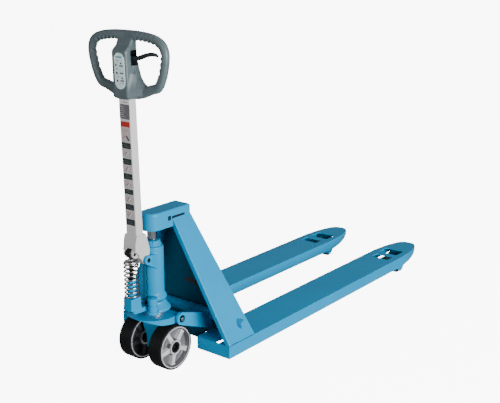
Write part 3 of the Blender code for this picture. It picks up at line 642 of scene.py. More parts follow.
def build_heels():
    """The top skins of the fork heels, slotted where the rocker's levers pass through."""
    level, thick = FORK_TOP - 4.0, 3.6
    inner = FORK_GAP + 5.2
    strips = [[(inner, 5), (212, 5), (212, 26), (215, 26), (215, 146), (inner, 146)],
              [(229, 8), (274, 8), (276, 60), (276, 140), (229, 140)]]
    for side, sign in SIDES:
        shells = []
        for strip in strips:
            outline = [(sign * x, y) for x, y in strip]
            shells.append(soften(slab("strip", outline, "Z", level, level + thick), 0.8, 2))
        finish(joined("heel", shells), f"fork_heel_{side}", "root", PAINT, "frame_paint")


def weld(name, line):
    """A weld bead on the frame: a bar with overlapping ripples."""
    radius, ripple, pace = 2.0, 0.16, 1.9
    made = tube(name, line, lambda t: radius * (1 + ripple * math.sin(t * len(line) * pace)), 8)
    finish(soften(made, 0), name, "root", PAINT, "frame_paint")


# ---- A-frame --------------------------------------------------------------------------

PANEL_FOOT = (285.0, 104.5)
PANEL_TOP = (50.0, 560.0)
PANEL_LENGTH = 528.0
PANEL_SHEET = 5.0
HEAD_LOW, HEAD_HIGH = corners("head")[0].z, corners("head")[1].z
HEAD_HALF = corners("head")[1].x
HEAD_BACK = corners("head")[1].y
STEER_Y = middle("piston_rod").y
ROCKER = (middle("rocker_shaft").y, middle("rocker_shaft").z)


def panel_front(z):
    return 2.0 - 0.0827 * (z - 107.0)


def panel_back(z):
    return 156.0 - 0.196 * (z - 107.0)


def shroud_back(z):
    return 137.0 - 0.1906 * (z - 107.0)


def panel_ring(along):
    """The side panel's folded section, at a length along its lean."""
    foot = Vector(PANEL_FOOT)
    lean = (Vector(PANEL_TOP) - foot).normalized()
    inward = Vector((-lean.y, lean.x))
    spot = foot + lean * along
    front, back = panel_front(spot.y), panel_back(spot.y)
    sheet = PANEL_SHEET
    section = rounded([(front, 0, 4.2), (back, 0, 4.2), (back, 14, 1.5), (back - sheet, 14, 1.5),
                       (back - sheet, sheet, 2), (front + sheet, sheet, 2), (front + sheet, 20, 1.5),
                       (front, 20, 1.5)], 4)
    return [(spot.x + inward.x * depth, y, spot.y + inward.y * depth) for y, depth in section]


def build_panels():
    gap = 0.4
    for side, sign in SIDES:
        made = loft("panel", [panel_ring(1.0), panel_ring(PANEL_LENGTH)])
        combine(made, box("head_room", (-HEAD_HALF - gap, -300, HEAD_LOW - 6.0),
                          (HEAD_HALF + gap, 300, HEAD_HIGH + 60)))
        combine(made, box("fork_room", (100, -100, 0), (400, 300, FORK_TOP + gap)))
        combine(made, slab("shaft_hole", circle(ROCKER, 14.5), "X", 150, 350))
        if sign < 0:
            made.data.transform(Matrix.Scale(-1, 4, (1, 0, 0)))
            made.data.flip_normals()
        soften(clean(made), 0.4, 1, 50)
        finish(made, f"side_panel_{side}_sheet", "root", PAINT, "frame_paint", f"side_panel_{side}")


def head_outline(inset):
    radius = HEAD_HALF - inset
    nose = arc((0, STEER_Y), radius, 180, 360, 48)
    corner = max(2.0, 13.0 - inset)
    back = HEAD_BACK + 13.0 - inset
    right = arc((radius - corner, back - corner), corner, 0, 90, 6)
    left = arc((-radius + corner, back - corner), corner, 90, 180, 6)
    return nose + right + left


def build_head():
    """A block with a rolled top edge and a sunk top, a socket for the piston and a small plate."""
    rolled, steps = 9.0, 8
    skirt = HEAD_LOW - 5.5
    levels = [(0.8, skirt), (0, skirt + 0.8), (0, HEAD_HIGH - rolled)]
    for k in range(1, steps + 1):
        turn = math.radians(90 * k / steps)
        levels.append((rolled * (1 - math.cos(turn)), HEAD_HIGH - rolled * (1 - math.sin(turn))))
    levels += [(rolled + 1.5, HEAD_HIGH), (rolled + 2.6, HEAD_HIGH - 1.2), (rolled + 3.6, HEAD_HIGH - 1.4)]
    made = loft("head", [[(x, y, z) for x, y in head_outline(inset)] for inset, z in levels])
    socket = turned("socket", [(0, skirt - 5), (25, skirt - 5), (25, skirt + 1),
                               (19.6, skirt + 5), (19.6, HEAD_LOW + 30), (0, HEAD_LOW + 30)],
                    "Z", (0, STEER_Y, 0))
    combine(made, socket)
    finish(soften(made, 0, smooth=35), "head_casting", "root", PAINT, "frame_paint", "head")

    plan = rectangle((-20, HEAD_BACK - 36), (20, HEAD_BACK - 12), 4)
    plate = slab("plate", plan, "Z", HEAD_HIGH - 2.0, HEAD_HIGH - 0.6)
    finish(soften(plate, 0.5, 2), "head_top_plate", "root", PAINT, "frame_paint")


def build_decals():
    """Plain marks on the head's sides: a short bar and a long one, no lettering."""
    for side, sign in SIDES:
        low, high = span(sign, HEAD_HALF + 0.05, HEAD_HALF + 0.35)
        marks = []
        for y0, y1, z0, z1 in ((-62, -45, -1, 16), (-40, 30, 1.0, 12.5)):
            outline = [(y, z + HEAD_LOW + 22) for y, z in rectangle((y0, z0), (y1, z1), 2)]
            marks.append(soften(slab("mark", outline, "X", low, high), 0))
        made = joined("marks", marks)
        finish(made, f"head_decal_{side}", "root", PRINT_NAVY, "label")


def build_shroud():
    """The back plate and the plate below it, both dark with painted shade, three pressed ribs and a plain
    printed tag. The plate below stands in for the shade between the forks.
    """
    # Skirt: a sheet in painted shade, filling the shaded gap under the back plate between the forks.
    skirt = box("skirt", (-FORK_GAP, 130, 58), (FORK_GAP, 134, FORK_TOP + 30))
    made = soften(joined("shroud", [copy_of("back_shroud"), skirt]), 0.8, 2)
    finish(made, "back_shroud_sheet", "root", SHADED_PAINT, "frame_paint", "back_shroud")
    top, foot = HEAD_LOW - 40, FORK_TOP + 60
    for k, lean in ((1, -0.33), (2, 0.0), (3, 0.33)):
        rings = []
        for z in (foot, foot + 12, top - 12, top):
            half = 6.0 if z in (foot + 12, top - 12) else 2.0
            y = shroud_back(z) - 0.4
            x = lean * (z - top) * -0.9
            depth = 2.2 if half > 2 else 0.3
            rings.append([(x - half, y, z), (x - half * 0.5, y + depth, z),
                          (x + half * 0.5, y + depth, z), (x + half, y, z)])
        rib = soften(loft("rib", rings), 0.3, 2)
        # The ribs take the blue's painted-shade copy too.
        finish(rib, f"back_shroud_rib_{k}", "root", SHADED_PAINT, "frame_paint")
    rings = []
    slope = 0.16
    for z, inset in ((264, 1.0), (265, 0.0), (285, 0.0), (286, 1.0)):
        y = shroud_back(z) - 4.0
        ends = (inset - 24, 42 - inset)
        near = [(x, y - 0.8, z - slope * x) for x in ends]
        far = [(x, y + 0.4, z - slope * x) for x in reversed(ends)]
        rings.append(near + far)
    finish(soften(loft("tag", rings), 0), "back_shroud_tag", "root", PRINT_BROWN, "label")


def shaft_profile(radius, half, chamfer, centre_hole):
    """A turned bar with chamfers and centre-drilled ends, alike at both ends."""
    eased = chamfer * 0.3
    near = [(0, 3.5 - half), (centre_hole, 0.6 - half), (centre_hole + 0.4, -half), (radius - chamfer, -half),
            (radius - eased, eased - half), (radius, chamfer - half)]
    return near + [(r, -h) for r, h in reversed(near)]


def pin_piece(node, look, slot):
    """A CAD pin across the truck as a finely turned bar with chamfered, centre-drilled ends."""
    half, radius, _ = half_size(node)
    profile = shaft_profile(radius, half, min(1.6, radius * 0.2), radius * 0.24)
    made = turned("pin", profile, "X", middle(node))
    finish(soften(made, 0, smooth=30), f"{node}_turned", body_of(node), look, slot, node)


def ring_piece(node, inner, look, slot, axis="X"):
    """A CAD ring as a finely turned one with eased edges."""
    along = "XYZ".index(axis)
    outer = half_size(node)[(along + 1) % 3]
    half = half_size(node)[along]
    made = turned("ring", rectangle((inner, -half), (outer, half), 0.8, 3), axis, middle(node))
    finish(soften(made, 0, smooth=35), f"{node}_turned", body_of(node), look, slot, node)


def build_linkage():
    pin_piece("rocker_shaft", PAINT, "frame_paint")
    for side, sign in SIDES:
        low, high = span(sign, 250, 279)
        radius = 16.5
        profile = rounded([(0.0, low, 0), (radius, low, 0.4), (radius, high, 1.2), (0.0, high, 0)], 3)
        cap = turned("cap", profile, "X", (0, *ROCKER))
        finish(soften(cap, 0, smooth=35), f"rocker_shaft_end_{side}", "root", PAINT, "frame_paint")
    ring_piece("rocker_tube", 14.5, PAINT, "frame_paint")
    build_web()
    for side, sign in SIDES:
        build_arm(side)
        # The rocker's levers and the push rods take the blue's painted-shade copy.
        refined(f"rocker_lever_{side}", SHADED_PAINT, "frame_paint", 1.4)
        pin_piece(f"arm_pin_{side}", DARK_STEEL, "steel")
        refined(f"push_rod_{side}", SHADED_PAINT, "frame_paint", 0.8)
        for node in (f"push_rod_pin_{side}", f"yoke_pivot_pin_{side}", f"load_axle_{side}"):
            pin_piece(node, STEEL, "steel")
        refined(f"load_yoke_{side}", PAINT, "frame_paint", 0.8)
        build_yoke_lobes(side)
        ring_piece(f"load_bearing_{side}", 8.4, STEEL, "steel")
        build_roller(f"load_roller_{side}")
        build_arm_trim(side, sign)


def build_yoke_lobes(side):
    """Round lobes on the yoke's outer faces, about the load axle."""
    low, high = corners(f"load_yoke_{side}")
    axle = middle(f"load_axle_{side}")
    outline = link_outline([(axle.y, axle.z, 28.0), (axle.y - 34, axle.z + 20, 12.0)])
    shells = []
    for face, inward in ((low.x, 1), (high.x, -1)):
        ends = sorted((face - inward * 0.3, face + inward * 4.0))
        lobe = slab("lobe", outline, "X", *ends)
        combine(lobe, slab("hole", circle((axle.y, axle.z), 8.6, 32), "X", face - 20, face + 20))
        shells.append(soften(lobe, 0.8, 2))
    finish(joined("lobes", shells), f"load_yoke_lobes_{side}", body_of(f"load_yoke_{side}"), PAINT,
           "frame_paint")


def build_arm(side):
    """A link plate: round about its pin, deepening towards the tube it is welded to."""
    node = f"rocker_arm_{side}"
    low, high = corners(node)[0].x, corners(node)[1].x
    pin = middle(f"arm_pin_{side}")
    y, z = ROCKER
    outline = link_outline([(pin.y, pin.z, 24.5), (y - 33, z + 15, 4), (y - 12, z - 50, 5),
                            (y + 10, z - 20, 8)])
    made = slab("arm", outline, "X", low, high, (circle((pin.y, pin.z), 11.2, 32),))
    finish(soften(made, 1.8, 4, 35), f"{node}_plate", "rocker", PAINT, "frame_paint", node)


def build_web():
    """The cross plate that ties the two arms together below the tube, coloured in painted shade; it also
    fills the shaded region under the tube.
    """
    y, z = ROCKER
    half = corners("rocker_arm_right")[0].x - 0.2
    line = [(y - 14, z - 12), (y - 30, z - 60), (y - 36, z - 99), (y - 28, z - 99), (y - 22, z - 60),
            (y - 6, z - 14)]
    made = slab("web", line, "X", -half, half)
    finish(soften(made, 1.2, 3), "rocker_web", "rocker", SHADED_PAINT, "frame_paint")


def build_arm_trim(side, sign):
    """A dark washer on the arm's pin, round its bright head; the dark ring is partly the blackened washer and
    partly painted shade round the head.
    """
    pin = middle(f"arm_pin_{side}")
    face = corners(f"rocker_arm_{side}")[1 if sign > 0 else 0].x
    low, high = sorted((face + sign * 0.1, face + sign * 1.4))
    washer = turned("washer", rectangle((9.6, low), (14.0, high), 0.3, 2), "X", (0, pin.y, pin.z))
    finish(soften(washer, 0), f"arm_washer_{side}", "rocker", DARK_STEEL, "steel")
    dome = [(0, 4.6), (6.6, 4.4), (8.6, 3.4), (9.2, 1.6), (9.2, -1.0), (0, -1.0)]
    outer = high if sign > 0 else low
    cap = turned("cap", [(r, outer + sign * h) for r, h in dome], "X", (0, pin.y, pin.z))
    finish(soften(cap, 0), f"arm_pin_head_{side}", "rocker", STEEL, "steel")


def build_roller(node):
    """A nylon load roller: crowned tread, a moulded step and a recessed hub face."""
    half, _, radius = half_size(node)
    side = [(15.0, half - 4), (20, half - 4), (21, half - 3), (27, half - 2.4), (28, half),
            (radius - 2.6, half), (radius - 0.8, half - 0.9), (radius - 0.1, half - 2.8)]
    profile = side + [(radius, 0)] + [(r, -h) for r, h in reversed(side)]
    made = turned("roller", profile, "X", middle(node))
    finish(soften(made, 0, smooth=35), f"{node}_moulded", body_of(node), NYLON, "roller_nylon", node)


# ---- steer wheels ---------------------------------------------------------------------

WHEEL_SIDES = 128


def build_tyre(side):
    """A solid tyre with rounded shoulders and shallow grooves round its tread."""
    node = f"steer_tyre_{side}"
    half, _, radius = half_size(node)
    bead = 81.9
    shoulder = [(bead, half - 3.0), *arc((radius - 3.4, half - 3.0), 3.2, 100, 8, 6)]
    points = list(shoulder)
    grooves = 13
    reach = half - 7.0
    pitch = reach * 2 / grooves
    for k in range(grooves + 1):
        h = reach - k * pitch
        points += [(radius - 0.1, h + 0.9), (radius - 0.75, h + 0.3), (radius - 0.75, h - 0.3),
                   (radius - 0.1, h - 0.9)]
    points += [(r, -h) for r, h in reversed(shoulder)]
    made = turned("tyre", points, "X", middle(node), WHEEL_SIDES)
    finish(soften(made, 0, smooth=50), f"{node}_moulded", body_of(node), TYRE, "tyre_rubber", node)


def build_rim(side, sign):
    """A cast disc with a sunk web and five spokes on both faces, and bright turned rings on its lip and hub.
    On its inner face the spokes and a ring behind them are coloured in painted shade."""
    node = f"steer_rim_{side}"
    wheel = body_of(node)
    centre = middle(node)
    half = half_size(node).x
    lip, well, hub = 81.6, 71.5, 31.0
    web = half - 21.0
    face = [(21.4, half - 1.4), (22.2, half - 0.6), (hub - 1.5, half - 0.6), (hub, half - 2.0),
            (hub + 1.5, web + 2), (hub + 4, web), (well - 5, web), (well - 1.5, web + 3),
            (well, half - 5.0), (well + 0.8, half - 4.2), (well + 1.6, half - 4.6),
            (well + 2.2, half - 12.0), (well + 4.4, half - 12.0), (well + 4.8, half - 0.6),
            (well + 5.2, half + 0.2), (lip - 0.6, half + 0.2), (lip, half - 0.8)]
    profile = face + [(r, -h) for r, h in reversed(face)]
    disc = turned("disc", profile, "X", centre, WHEEL_SIDES)
    disc.data.materials.append(DARK_ALUMINIUM)
    shells = [soften(disc, 0, smooth=38)]
    spokes = 5
    for end in (1, -1):
        for i in range(spokes):
            at = math.radians(90 + 360 * (i + 0.5) / spokes - 7)
            rows = []
            for reach, wide, top in ((hub - 3, 10.5, half - 3.0), (hub + 4, 9.5, half - 4.0),
                                     (54, 8.0, half - 5.5), (well - 7, 9.0, half - 6.5),
                                     (well + 1, 12.0, half - 6.8)):
                ring = []
                for across, level in ((-wide * 1.18, web - 3), (-wide, top - 2.0), (-wide + 2.0, top),
                                      (wide - 2.0, top), (wide, top - 2.0), (wide * 1.18, web - 3)):
                    y = reach * math.cos(at) - across * math.sin(at)
                    z = reach * math.sin(at) + across * math.cos(at)
                    ring.append((centre.x + end * level, centre.y + y, centre.z + z))
                rows.append(ring)
            spoke = soften(loft("spoke", rows), 0.9, 3, 28, 30)
            # Spokes on the inner face take the painted-shade copy.
            spoke.data.materials.append(CAST_ALUMINIUM if end == sign else SHADED_ALUMINIUM)
            shells.append(spoke)
    # A dark ring behind the inner face's spokes: painted shade inside the wheel.
    low, high = sorted((-sign * (web - 0.5), -sign * (web + 0.8)))
    ring = [(hub, low), (well + 0.6, low), (well + 0.6, high), (hub, high)]
    back = turned("back", ring, "X", centre, 96)
    back.data.materials.append(SHADED_ALUMINIUM)
    shells.append(soften(back, 0))
    finish(joined("rim", shells), f"{node}_cast", wheel, None, "rim_aluminium", node)
    for end in (1, -1):
        low, high = sorted((end * (half + 0.1), end * (half + 0.45)))
        for inner, outer, sunk, tag in ((well + 5.0, lip - 0.8, 0.0, "lip"), (23.0, hub - 2.2, 0.8, "hub")):
            profile = rectangle((inner, low), (outer, high), 0.1, 1)
            trim = turned("trim", profile, "X", centre, WHEEL_SIDES)
            trim.data.transform(Matrix.Translation((-end * sunk * MM, 0, 0)))
            where = "outer" if end == sign else "inner"
            finish(soften(trim, 0), f"steer_{tag}_{side}_{where}", wheel, TURNED_ALUMINIUM,
                   "rim_aluminium")


def build_wheel_bearing(side):
    """The bearing round the axle, with a groove in each face."""
    node = f"steer_bearing_{side}"
    half, _, outer = half_size(node)
    near = [(12.9, -half), (15.5, -half), (16, -half + 1), (18.5, -half + 1), (19, -half), (outer, -half)]
    made = turned("bearing", near + [(r, -h) for r, h in reversed(near)], "X", middle(node))
    finish(soften(made, 0, smooth=30), f"{node}_turned", body_of(node), DARK_STEEL, "black_steel", node)


def build_wheels():
    for side, sign in SIDES:
        build_tyre(side)
        build_rim(side, sign)
        build_wheel_bearing(side)
    pin_piece("steer_axle", DARK_STEEL, "steel")


# ---- pump -----------------------------------------------------------------------------

PUMP_RADIUS = 42.0
HANDLE_BORE = 8.4
CAM_BORE = 6.4
PUMP_LOW, PUMP_HIGH = corners("pump_cylinder")[0].z, corners("pump_cylinder")[1].z
HANDLE_PIVOT = (middle("handle_pivot_pin").y, middle("handle_pivot_pin").z)
PLUNGER_Y = middle("plunger_guide").y
BLOCK_TOP = corners("plunger_housing")[1].z


def build_cylinder():
    """The pump's barrel with its shoulder, foot flange and the two ears that hold the handle, and
    the nut, seal and bearing on its axis."""
    bore = 19.4
    barrel = [(0, PUMP_HIGH), (PUMP_RADIUS - 7, PUMP_HIGH),
              *arc((PUMP_RADIUS - 5, PUMP_HIGH - 5), 5, 85, 5, 5), (PUMP_RADIUS, PUMP_LOW + 31),
              (PUMP_RADIUS + 2.0, PUMP_LOW + 26), (48, PUMP_LOW + 20), (49.5, PUMP_LOW + 16),
              (49.5, PUMP_LOW + 10), (47, PUMP_LOW + 6), (42, PUMP_LOW + 0.5), (0, PUMP_LOW + 0.5)]
    shells = [turned("barrel", barrel, "Z", (0, STEER_Y, 0), 96)]
    y, z = HANDLE_PIVOT
    for _, sign in SIDES:
        low, high = span(sign, 20, 46)
        outline = link_outline([(y, z, 17.5), (STEER_Y - 22, z - 14, 24.0), (STEER_Y, z - 30, 24.0)])
        ear = slab("ear", outline, "X", low, high)
        plan = [(33, y - 20), (46, y - 20), (46, y + 16), (42.5, y + 32), (39.5, STEER_Y - 12),
                (30, STEER_Y), (22, STEER_Y), (22, STEER_Y - 30), (33, y + 20)]
        plan = [(sign * a, b) for a, b in plan]
        shells.append(combine(ear, slab("plan", plan, "Z", 300, 600), "INTERSECT"))
    made = melt(joined("barrel", shells), 1.5, 10)
    combine(made, slab("bore", circle((0, STEER_Y), bore, 64), "Z", PUMP_LOW - 9, PUMP_HIGH + 9))
    combine(made, slab("pivot", circle(HANDLE_PIVOT, HANDLE_BORE, 40), "X", -60, 60))
    soften(made, 0, smooth=50)
    finish(made, "pump_barrel", "steering", CAST_PAINT, "frame_paint", "pump_cylinder")

    top = PUMP_HIGH + 0.4
    nut = [(bore, top), (bore, top + 21.6), (27.5, top + 21.6), (29.3, top + 21.0), (31, top + 19),
           (31, top + 11), (32, top + 9.6), (34.4, top + 8.6), (35, top + 7.6), (35, top + 5), (34, top + 4),
           (34, top)]
    made = turned("nut", nut, "Z", (0, STEER_Y, 0), 96)
    for k in range(4):
        at = math.radians(45 + 90 * k)
        notch = slab("notch", circle((31.5 * math.cos(at), STEER_Y + 31.5 * math.sin(at)), 3.2, 16),
                     "Z", top + 12, top + 30)
        combine(made, notch)
    finish(soften(made, 0.4, 2, 40), "gland_nut_turned", "steering", CAST_PAINT, "frame_paint", "gland_nut")
    ring_piece("wiper_seal", bore + 0.1, SEAL, "seal_rubber", "Z")
    ring_piece("thrust_bearing", 31.0, STEEL, "steel", "Z")


def build_piston():
    """The chrome lift piston, plain turned."""
    low, high = corners("piston_rod")
    radius = (high - low).x / 2
    profile = [(0, low.z), (radius - 2, low.z), (radius, low.z + 2), (radius, high.z - 1), (0, high.z - 1)]
    made = turned("piston", profile, "Z", (0, STEER_Y, 0), 96)
    finish(soften(made, 0, smooth=30), "piston_rod_ground", "root", CHROME, "chrome", "piston_rod")


def build_pump_foot():
    """The round foot under the barrel, with an arm to the plunger's block, a seat for the valve and
    a well that the plunger sinks into."""
    low, high = corners("pump_base")[0].z, corners("pump_base")[1].z
    foot = turned("foot", [(0, low), (60, low), (63.5, low + 2), (64.5, low + 5), (62, low + 11),
                           (54, low + 20), (47, low + 30), (44.5, high), (0, high)], "Z", (0, STEER_Y, 0), 96)
    arm = rounded([(34, STEER_Y, 0), (23, -178, 14), (17, -226, 9), (-17, -226, 9), (-23, -178, 14),
                   (-34, STEER_Y, 0)], 5)
    shells = [foot, slab("arm", arm, "Z", low + 13, high - 6)]
    x, y = middle("release_valve").x, middle("release_valve").y
    shells.append(turned("seat", [(0, low + 4), (23, low + 4), (24, low + 8), (23, low + 15), (0, low + 15)],
                         "Z", (x, y, 0), 64))
    made = melt(joined("foot", shells), 1.6, 12)
    combine(made, slab("well", circle((0, PLUNGER_Y), 10.2, 40), "Z", low + 3, high + 20))
    finish(soften(made, 0, smooth=50), "pump_foot", "steering", CAST_PAINT, "frame_paint", "pump_base")


def build_castings():
    """The pump's foot, and the block, column, bracket and lever, which keep their CAD shapes, eased."""
    build_pump_foot()
    refined("plunger_housing", CAST_PAINT, "frame_paint", 3.2, 4, 24)
    refined("steer_column", CAST_PAINT, "frame_paint", 2.5, 4, 30)
    refined("bearing_bracket", CAST_PAINT, "frame_paint", 2.5, 4, 24)
    refined("release_lever", DARK_STEEL, "black_steel", 0.8)
    pin_piece("handle_pivot_pin", DARK_STEEL, "steel")


def build_valve():
    """The release valve's body: turned steps, a hexagon and a sealed plug on top."""
    low, high = corners("release_valve")
    centre = ((low.x + high.x) / 2, (low.y + high.y) / 2, low.z)
    steps = [(0, 0), (18, 0), (19, 1), (19, 15), (18.2, 16), (18.2, 17), (19, 18), (17, 19.5), (16.5, 20.4),
             (16.5, 24), (17.4, 25), (19, 26.5), (19, 35), (18.2, 36), (18.2, 37), (19, 38), (19, 49),
             (17.5, 51), (12, 51.6), (12, 50.4), (0, 50.4)]
    steps = [(r, h + (4 if h > 0 else 0)) for r, h in steps]
    made = turned("valve", steps, "Z", centre, 72)
    finish(soften(made, 0, smooth=28), "release_valve_body", "steering", CAST_PAINT, "frame_paint",
           "release_valve")
    hexagon = slab("hexagon", circle((centre[0], centre[1]), 9.5, 6), "Z", low.z + 54.6, low.z + 57.0)
    finish(soften(hexagon, 0.6, 2), "release_valve_plug", "steering", CAST_PAINT, "frame_paint")


def build_plunger():
    """The guide sleeve, the grooved stem that slides in it and the cap on top of the spring."""
    guide_low, guide_high = corners("plunger_guide")
    top = guide_high.z + 27
    base = guide_low.z
    guide = [(9.8, base), (16.2, base), (17, base + 1), (17, top - 3), (16, top - 1), (14, top), (9.8, top)]
    made = turned("guide", guide, "Z", (0, PLUNGER_Y, 0), 72)
    finish(soften(made, 0, smooth=32), "plunger_guide_turned", "steering", CAST_PAINT, "frame_paint",
           "plunger_guide")

    stem_low, stem_high = corners("pump_plunger")
    radius = 9.2
    neck = radius - 1.2
    stem = [(0, stem_low.z), (radius, stem_low.z + 1)]
    for z in (top + 14, top + 30, top + 46):
        stem += [(radius, z - 1.5), (neck, z - 0.6), (neck, z + 3.4), (radius, z + 4.2)]
    stem += [(radius, stem_high.z), (0, stem_high.z)]
    made = turned("stem", stem, "Z", (0, PLUNGER_Y, 0), 64)
    finish(soften(made, 0, smooth=30), "pump_plunger_ground", "plunger", DARK_STEEL, "black_steel",
           "pump_plunger")

    cap_low, cap_high = corners("spring_cap")
    z = cap_low.z
    cap = [(0, z), (25, z), (25.8, z + 0.6), (26, z + 1.6), (25.6, z + 3.4), (24, z + 4.2), (15, z + 5.2),
           (12.6, z + 7), *arc((0, z + 6), 12.0, 25, 85, 6), (0, cap_high.z)]
    made = turned("cap", [(r, min(h, cap_high.z)) for r, h in cap], "Z", (0, PLUNGER_Y, 0), 72)
    finish(soften(made, 0, smooth=35), "spring_cap_turned", "plunger", STEEL, "steel", "spring_cap")


SPRING_WIRE = 3.3
SPRING_RADIUS = 25.6


def build_spring():
    """A helix whose end turns close up, between the block and the cap."""
    low = BLOCK_TOP + SPRING_WIRE + 0.4
    high = corners("spring_cap")[0].z - SPRING_WIRE - 0.4
    turns, per_turn = 9.0, 36
    closed = 0.75 / turns
    count = int(turns * per_turn)
    line = []
    for i in range(count + 1):
        t = i / count
        rise = (t - closed * 0.72) / (1 - closed * 1.44)
        rise = min(1.0, max(0.0, rise))
        turn = 2 * math.pi * turns * t + 0.6
        line.append(Vector((SPRING_RADIUS * math.cos(turn), PLUNGER_Y + SPRING_RADIUS * math.sin(turn),
                            low + (high - low) * rise)))
    made = tube("spring", line, SPRING_WIRE, 14)
    finish(soften(made, 0, smooth=60), "return_spring_wound", "steering", SPRING_STEEL, "steel",
           "return_spring")
    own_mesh(made)


def build_chain():
    """The release chain: small oval links, each turned a quarter from the last, and an end stud."""
    low, high = corners("release_rod")
    x, y = middle("release_rod").x, middle("release_rod").y
    wire_radius, half_long, half_wide = 0.75, 3.6, 1.9
    pitch = 2 * (half_long - wire_radius) - 0.2
    stud = 16.0
    links = []
    z = high.z - half_long - wire_radius
    k = 0
    steps = 14
    while z > low.z + stud:
        sway = 1.3 * math.sin(k * 0.9)
        line = []
        for i in range(steps):
            turn = 2 * math.pi * i / steps
            across, along = half_wide * math.cos(turn), half_long * math.sin(turn)
            if k % 2:
                line.append(Vector((x + across + sway, y, z + along)))
            else:
                line.append(Vector((x + sway, y + across, z + along)))
        links.append(soften(tube("link", line, wire_radius, 6, closed=True), 0, smooth=60))
        z -= pitch
        k += 1
    end = [(0, low.z + 0.2), (1.6, low.z + 0.6), (2.2, low.z + 1.5), (2.2, low.z + stud - 2),
           (1.2, low.z + stud), (0, low.z + stud)]
    links.append(soften(turned("stud", end, "Z", (x, y, 0), 24), 0))
    finish(joined("chain", links), "release_chain", "release_rod", DARK_STEEL, "steel", "release_rod")


# ---- handle ---------------------------------------------------------------------------

TUBE_FOOT = (-194.0, 557.0)
HANDLE_LEAN = math.radians(1.42)
TUBE_HALF = (27.5, 17.0)
TUBE_TOP = 520.0
COLUMN_FRONT = -32.0


def lean(made):
    """Turn a piece drawn as (across, depth, along) into the handle's place."""
    foot = Matrix.Translation(Vector((0, *TUBE_FOOT)) * MM)
    shift = Matrix.Translation(Vector((0, HEEL, 0)))
    made.data.transform(shift @ foot @ Matrix.Rotation(HANDLE_LEAN, 4, "X") @ shift.inverted())
    return made


def build_bracket():
    """The cast socket at the handle's foot: wide round the tube, narrow where it forks over the cam."""
    pin = middle("cam_roller_pin")
    y, z = HANDLE_PIVOT
    side = [(y + 3, z + 100), (y - 43, z + 100), (y - 50, z + 77), (y - 52.5, z + 48), (y - 60, z + 36),
            (y - 58, z + 22), (y - 48, z + 15), (y - 33, z + 14), (y - 25, z + 9), (y - 18, z - 3),
            (y - 13, z - 13), (y, z - 18), (y + 14, z - 12), (y + 19, z), (y + 17, z + 12), (y + 20, z + 23),
            (y + 21, z + 37)]
    made = slab("bracket", side, "X", -32, 32)
    soften(made, 3.0, 4, 24)
    for sign in (1, -1):
        low, high = span(sign, 21.5, 60)
        waist = rounded([(y - 80, z - 20, 0), (y - 30, z - 20, 0), (y - 33, z + 24, 14), (y - 48, z + 40, 6),
                         (y - 80, z + 44, 0)], 4)
        combine(made, slab("waist", waist, "X", low, high))
    fork = rounded([(y - 79, z + 2, 0), (y - 32, z + 2, 0), (y - 29, z + 27, 0), (y - 35, z + 47, 12),
                    (y - 61, z + 53, 8), (y - 79, z + 53, 0)], 4)
    combine(made, slab("fork", fork, "X", -13, 13))
    for spot, radius in (((pin.y, pin.z), CAM_BORE), (HANDLE_PIVOT, HANDLE_BORE)):
        combine(made, slab("hole", circle(spot, radius, 40), "X", -40, 40))
    wide, deep = TUBE_HALF[0] + 0.3, TUBE_HALF[1] + 0.3
    combine(made, lean(box("socket", (-wide, -deep, -22), (wide, deep, 30))))
    soften(made, 1.2, 3, 40)
    finish(made, "handle_bracket_cast", "handle", CASTING_PAINT, "silver_casting", "handle_bracket")
    ring_piece("cam_roller", CAM_BORE, DARK_STEEL, "black_steel")
    shaft = turned("pin", shaft_profile(6.0, 24.5, 1.2, 1.5), "X", (0, pin.y, pin.z))
    finish(soften(shaft, 0, smooth=30), "cam_roller_pin_turned", "handle", DARK_STEEL, "steel",
           "cam_roller_pin")
    for side, sign in SIDES:
        low, high = span(sign, 21.0, 23.4)
        profile = rounded([(6.6, low, 0.3), (11, low, 0.3), (11, high, 0.8), (6.6, high, 0.8)], 2)
        boss = turned("boss", profile, "X", (0, pin.y, pin.z))
        finish(soften(boss, 0), f"bracket_boss_{side}", "handle", CASTING_PAINT, "silver_casting")


def build_tube():
    """The rectangular tube of the handle, hollow, with rounded corners."""
    a, b = TUBE_HALF
    radius = 4.5
    outline = rectangle((-a, -b), (a, b), radius, 6)
    wall = 2.5
    hollow = rectangle((-a + wall, -b + wall), (a - wall, b - wall), 2, 3)
    made = lean(slab("tube", outline, "Z", -21, TUBE_TOP, (hollow,)))
    finish(soften(made, 0.4, 2, 50), "handle_tube_drawn", "handle", TUBE_PAINT, "silver_tube",
           "handle_tube")


def printed(outline, look, lift):
    """One printed film on the tube's front, lifted clear of what is under it."""
    depth = -TUBE_HALF[1] - lift
    made = soften(slab("print", outline, "Y", depth - 0.15, depth), 0)
    made.data.materials.append(look)
    return made


def panel(across, low, high, look, corner=1.6):
    """A printed rectangle: its half width and its heights above the floor, along the tube."""
    foot = TUBE_FOOT[1]
    return printed(rectangle((-across, low - foot), (across, high - foot), corner, 3), look, 0.15)


def stroke(x0, s0, x1, s1, width, look):
    """A printed stroke between two points, on top of the rectangles."""
    foot = TUBE_FOOT[1]
    a, b = Vector((x0, s0 - foot)), Vector((x1, s1 - foot))
    normal = Vector((-(b - a).y, (b - a).x)).normalized() * width / 2
    return printed([tuple(a + normal), tuple(a - normal), tuple(b - normal), tuple(b + normal)], look, 0.3)


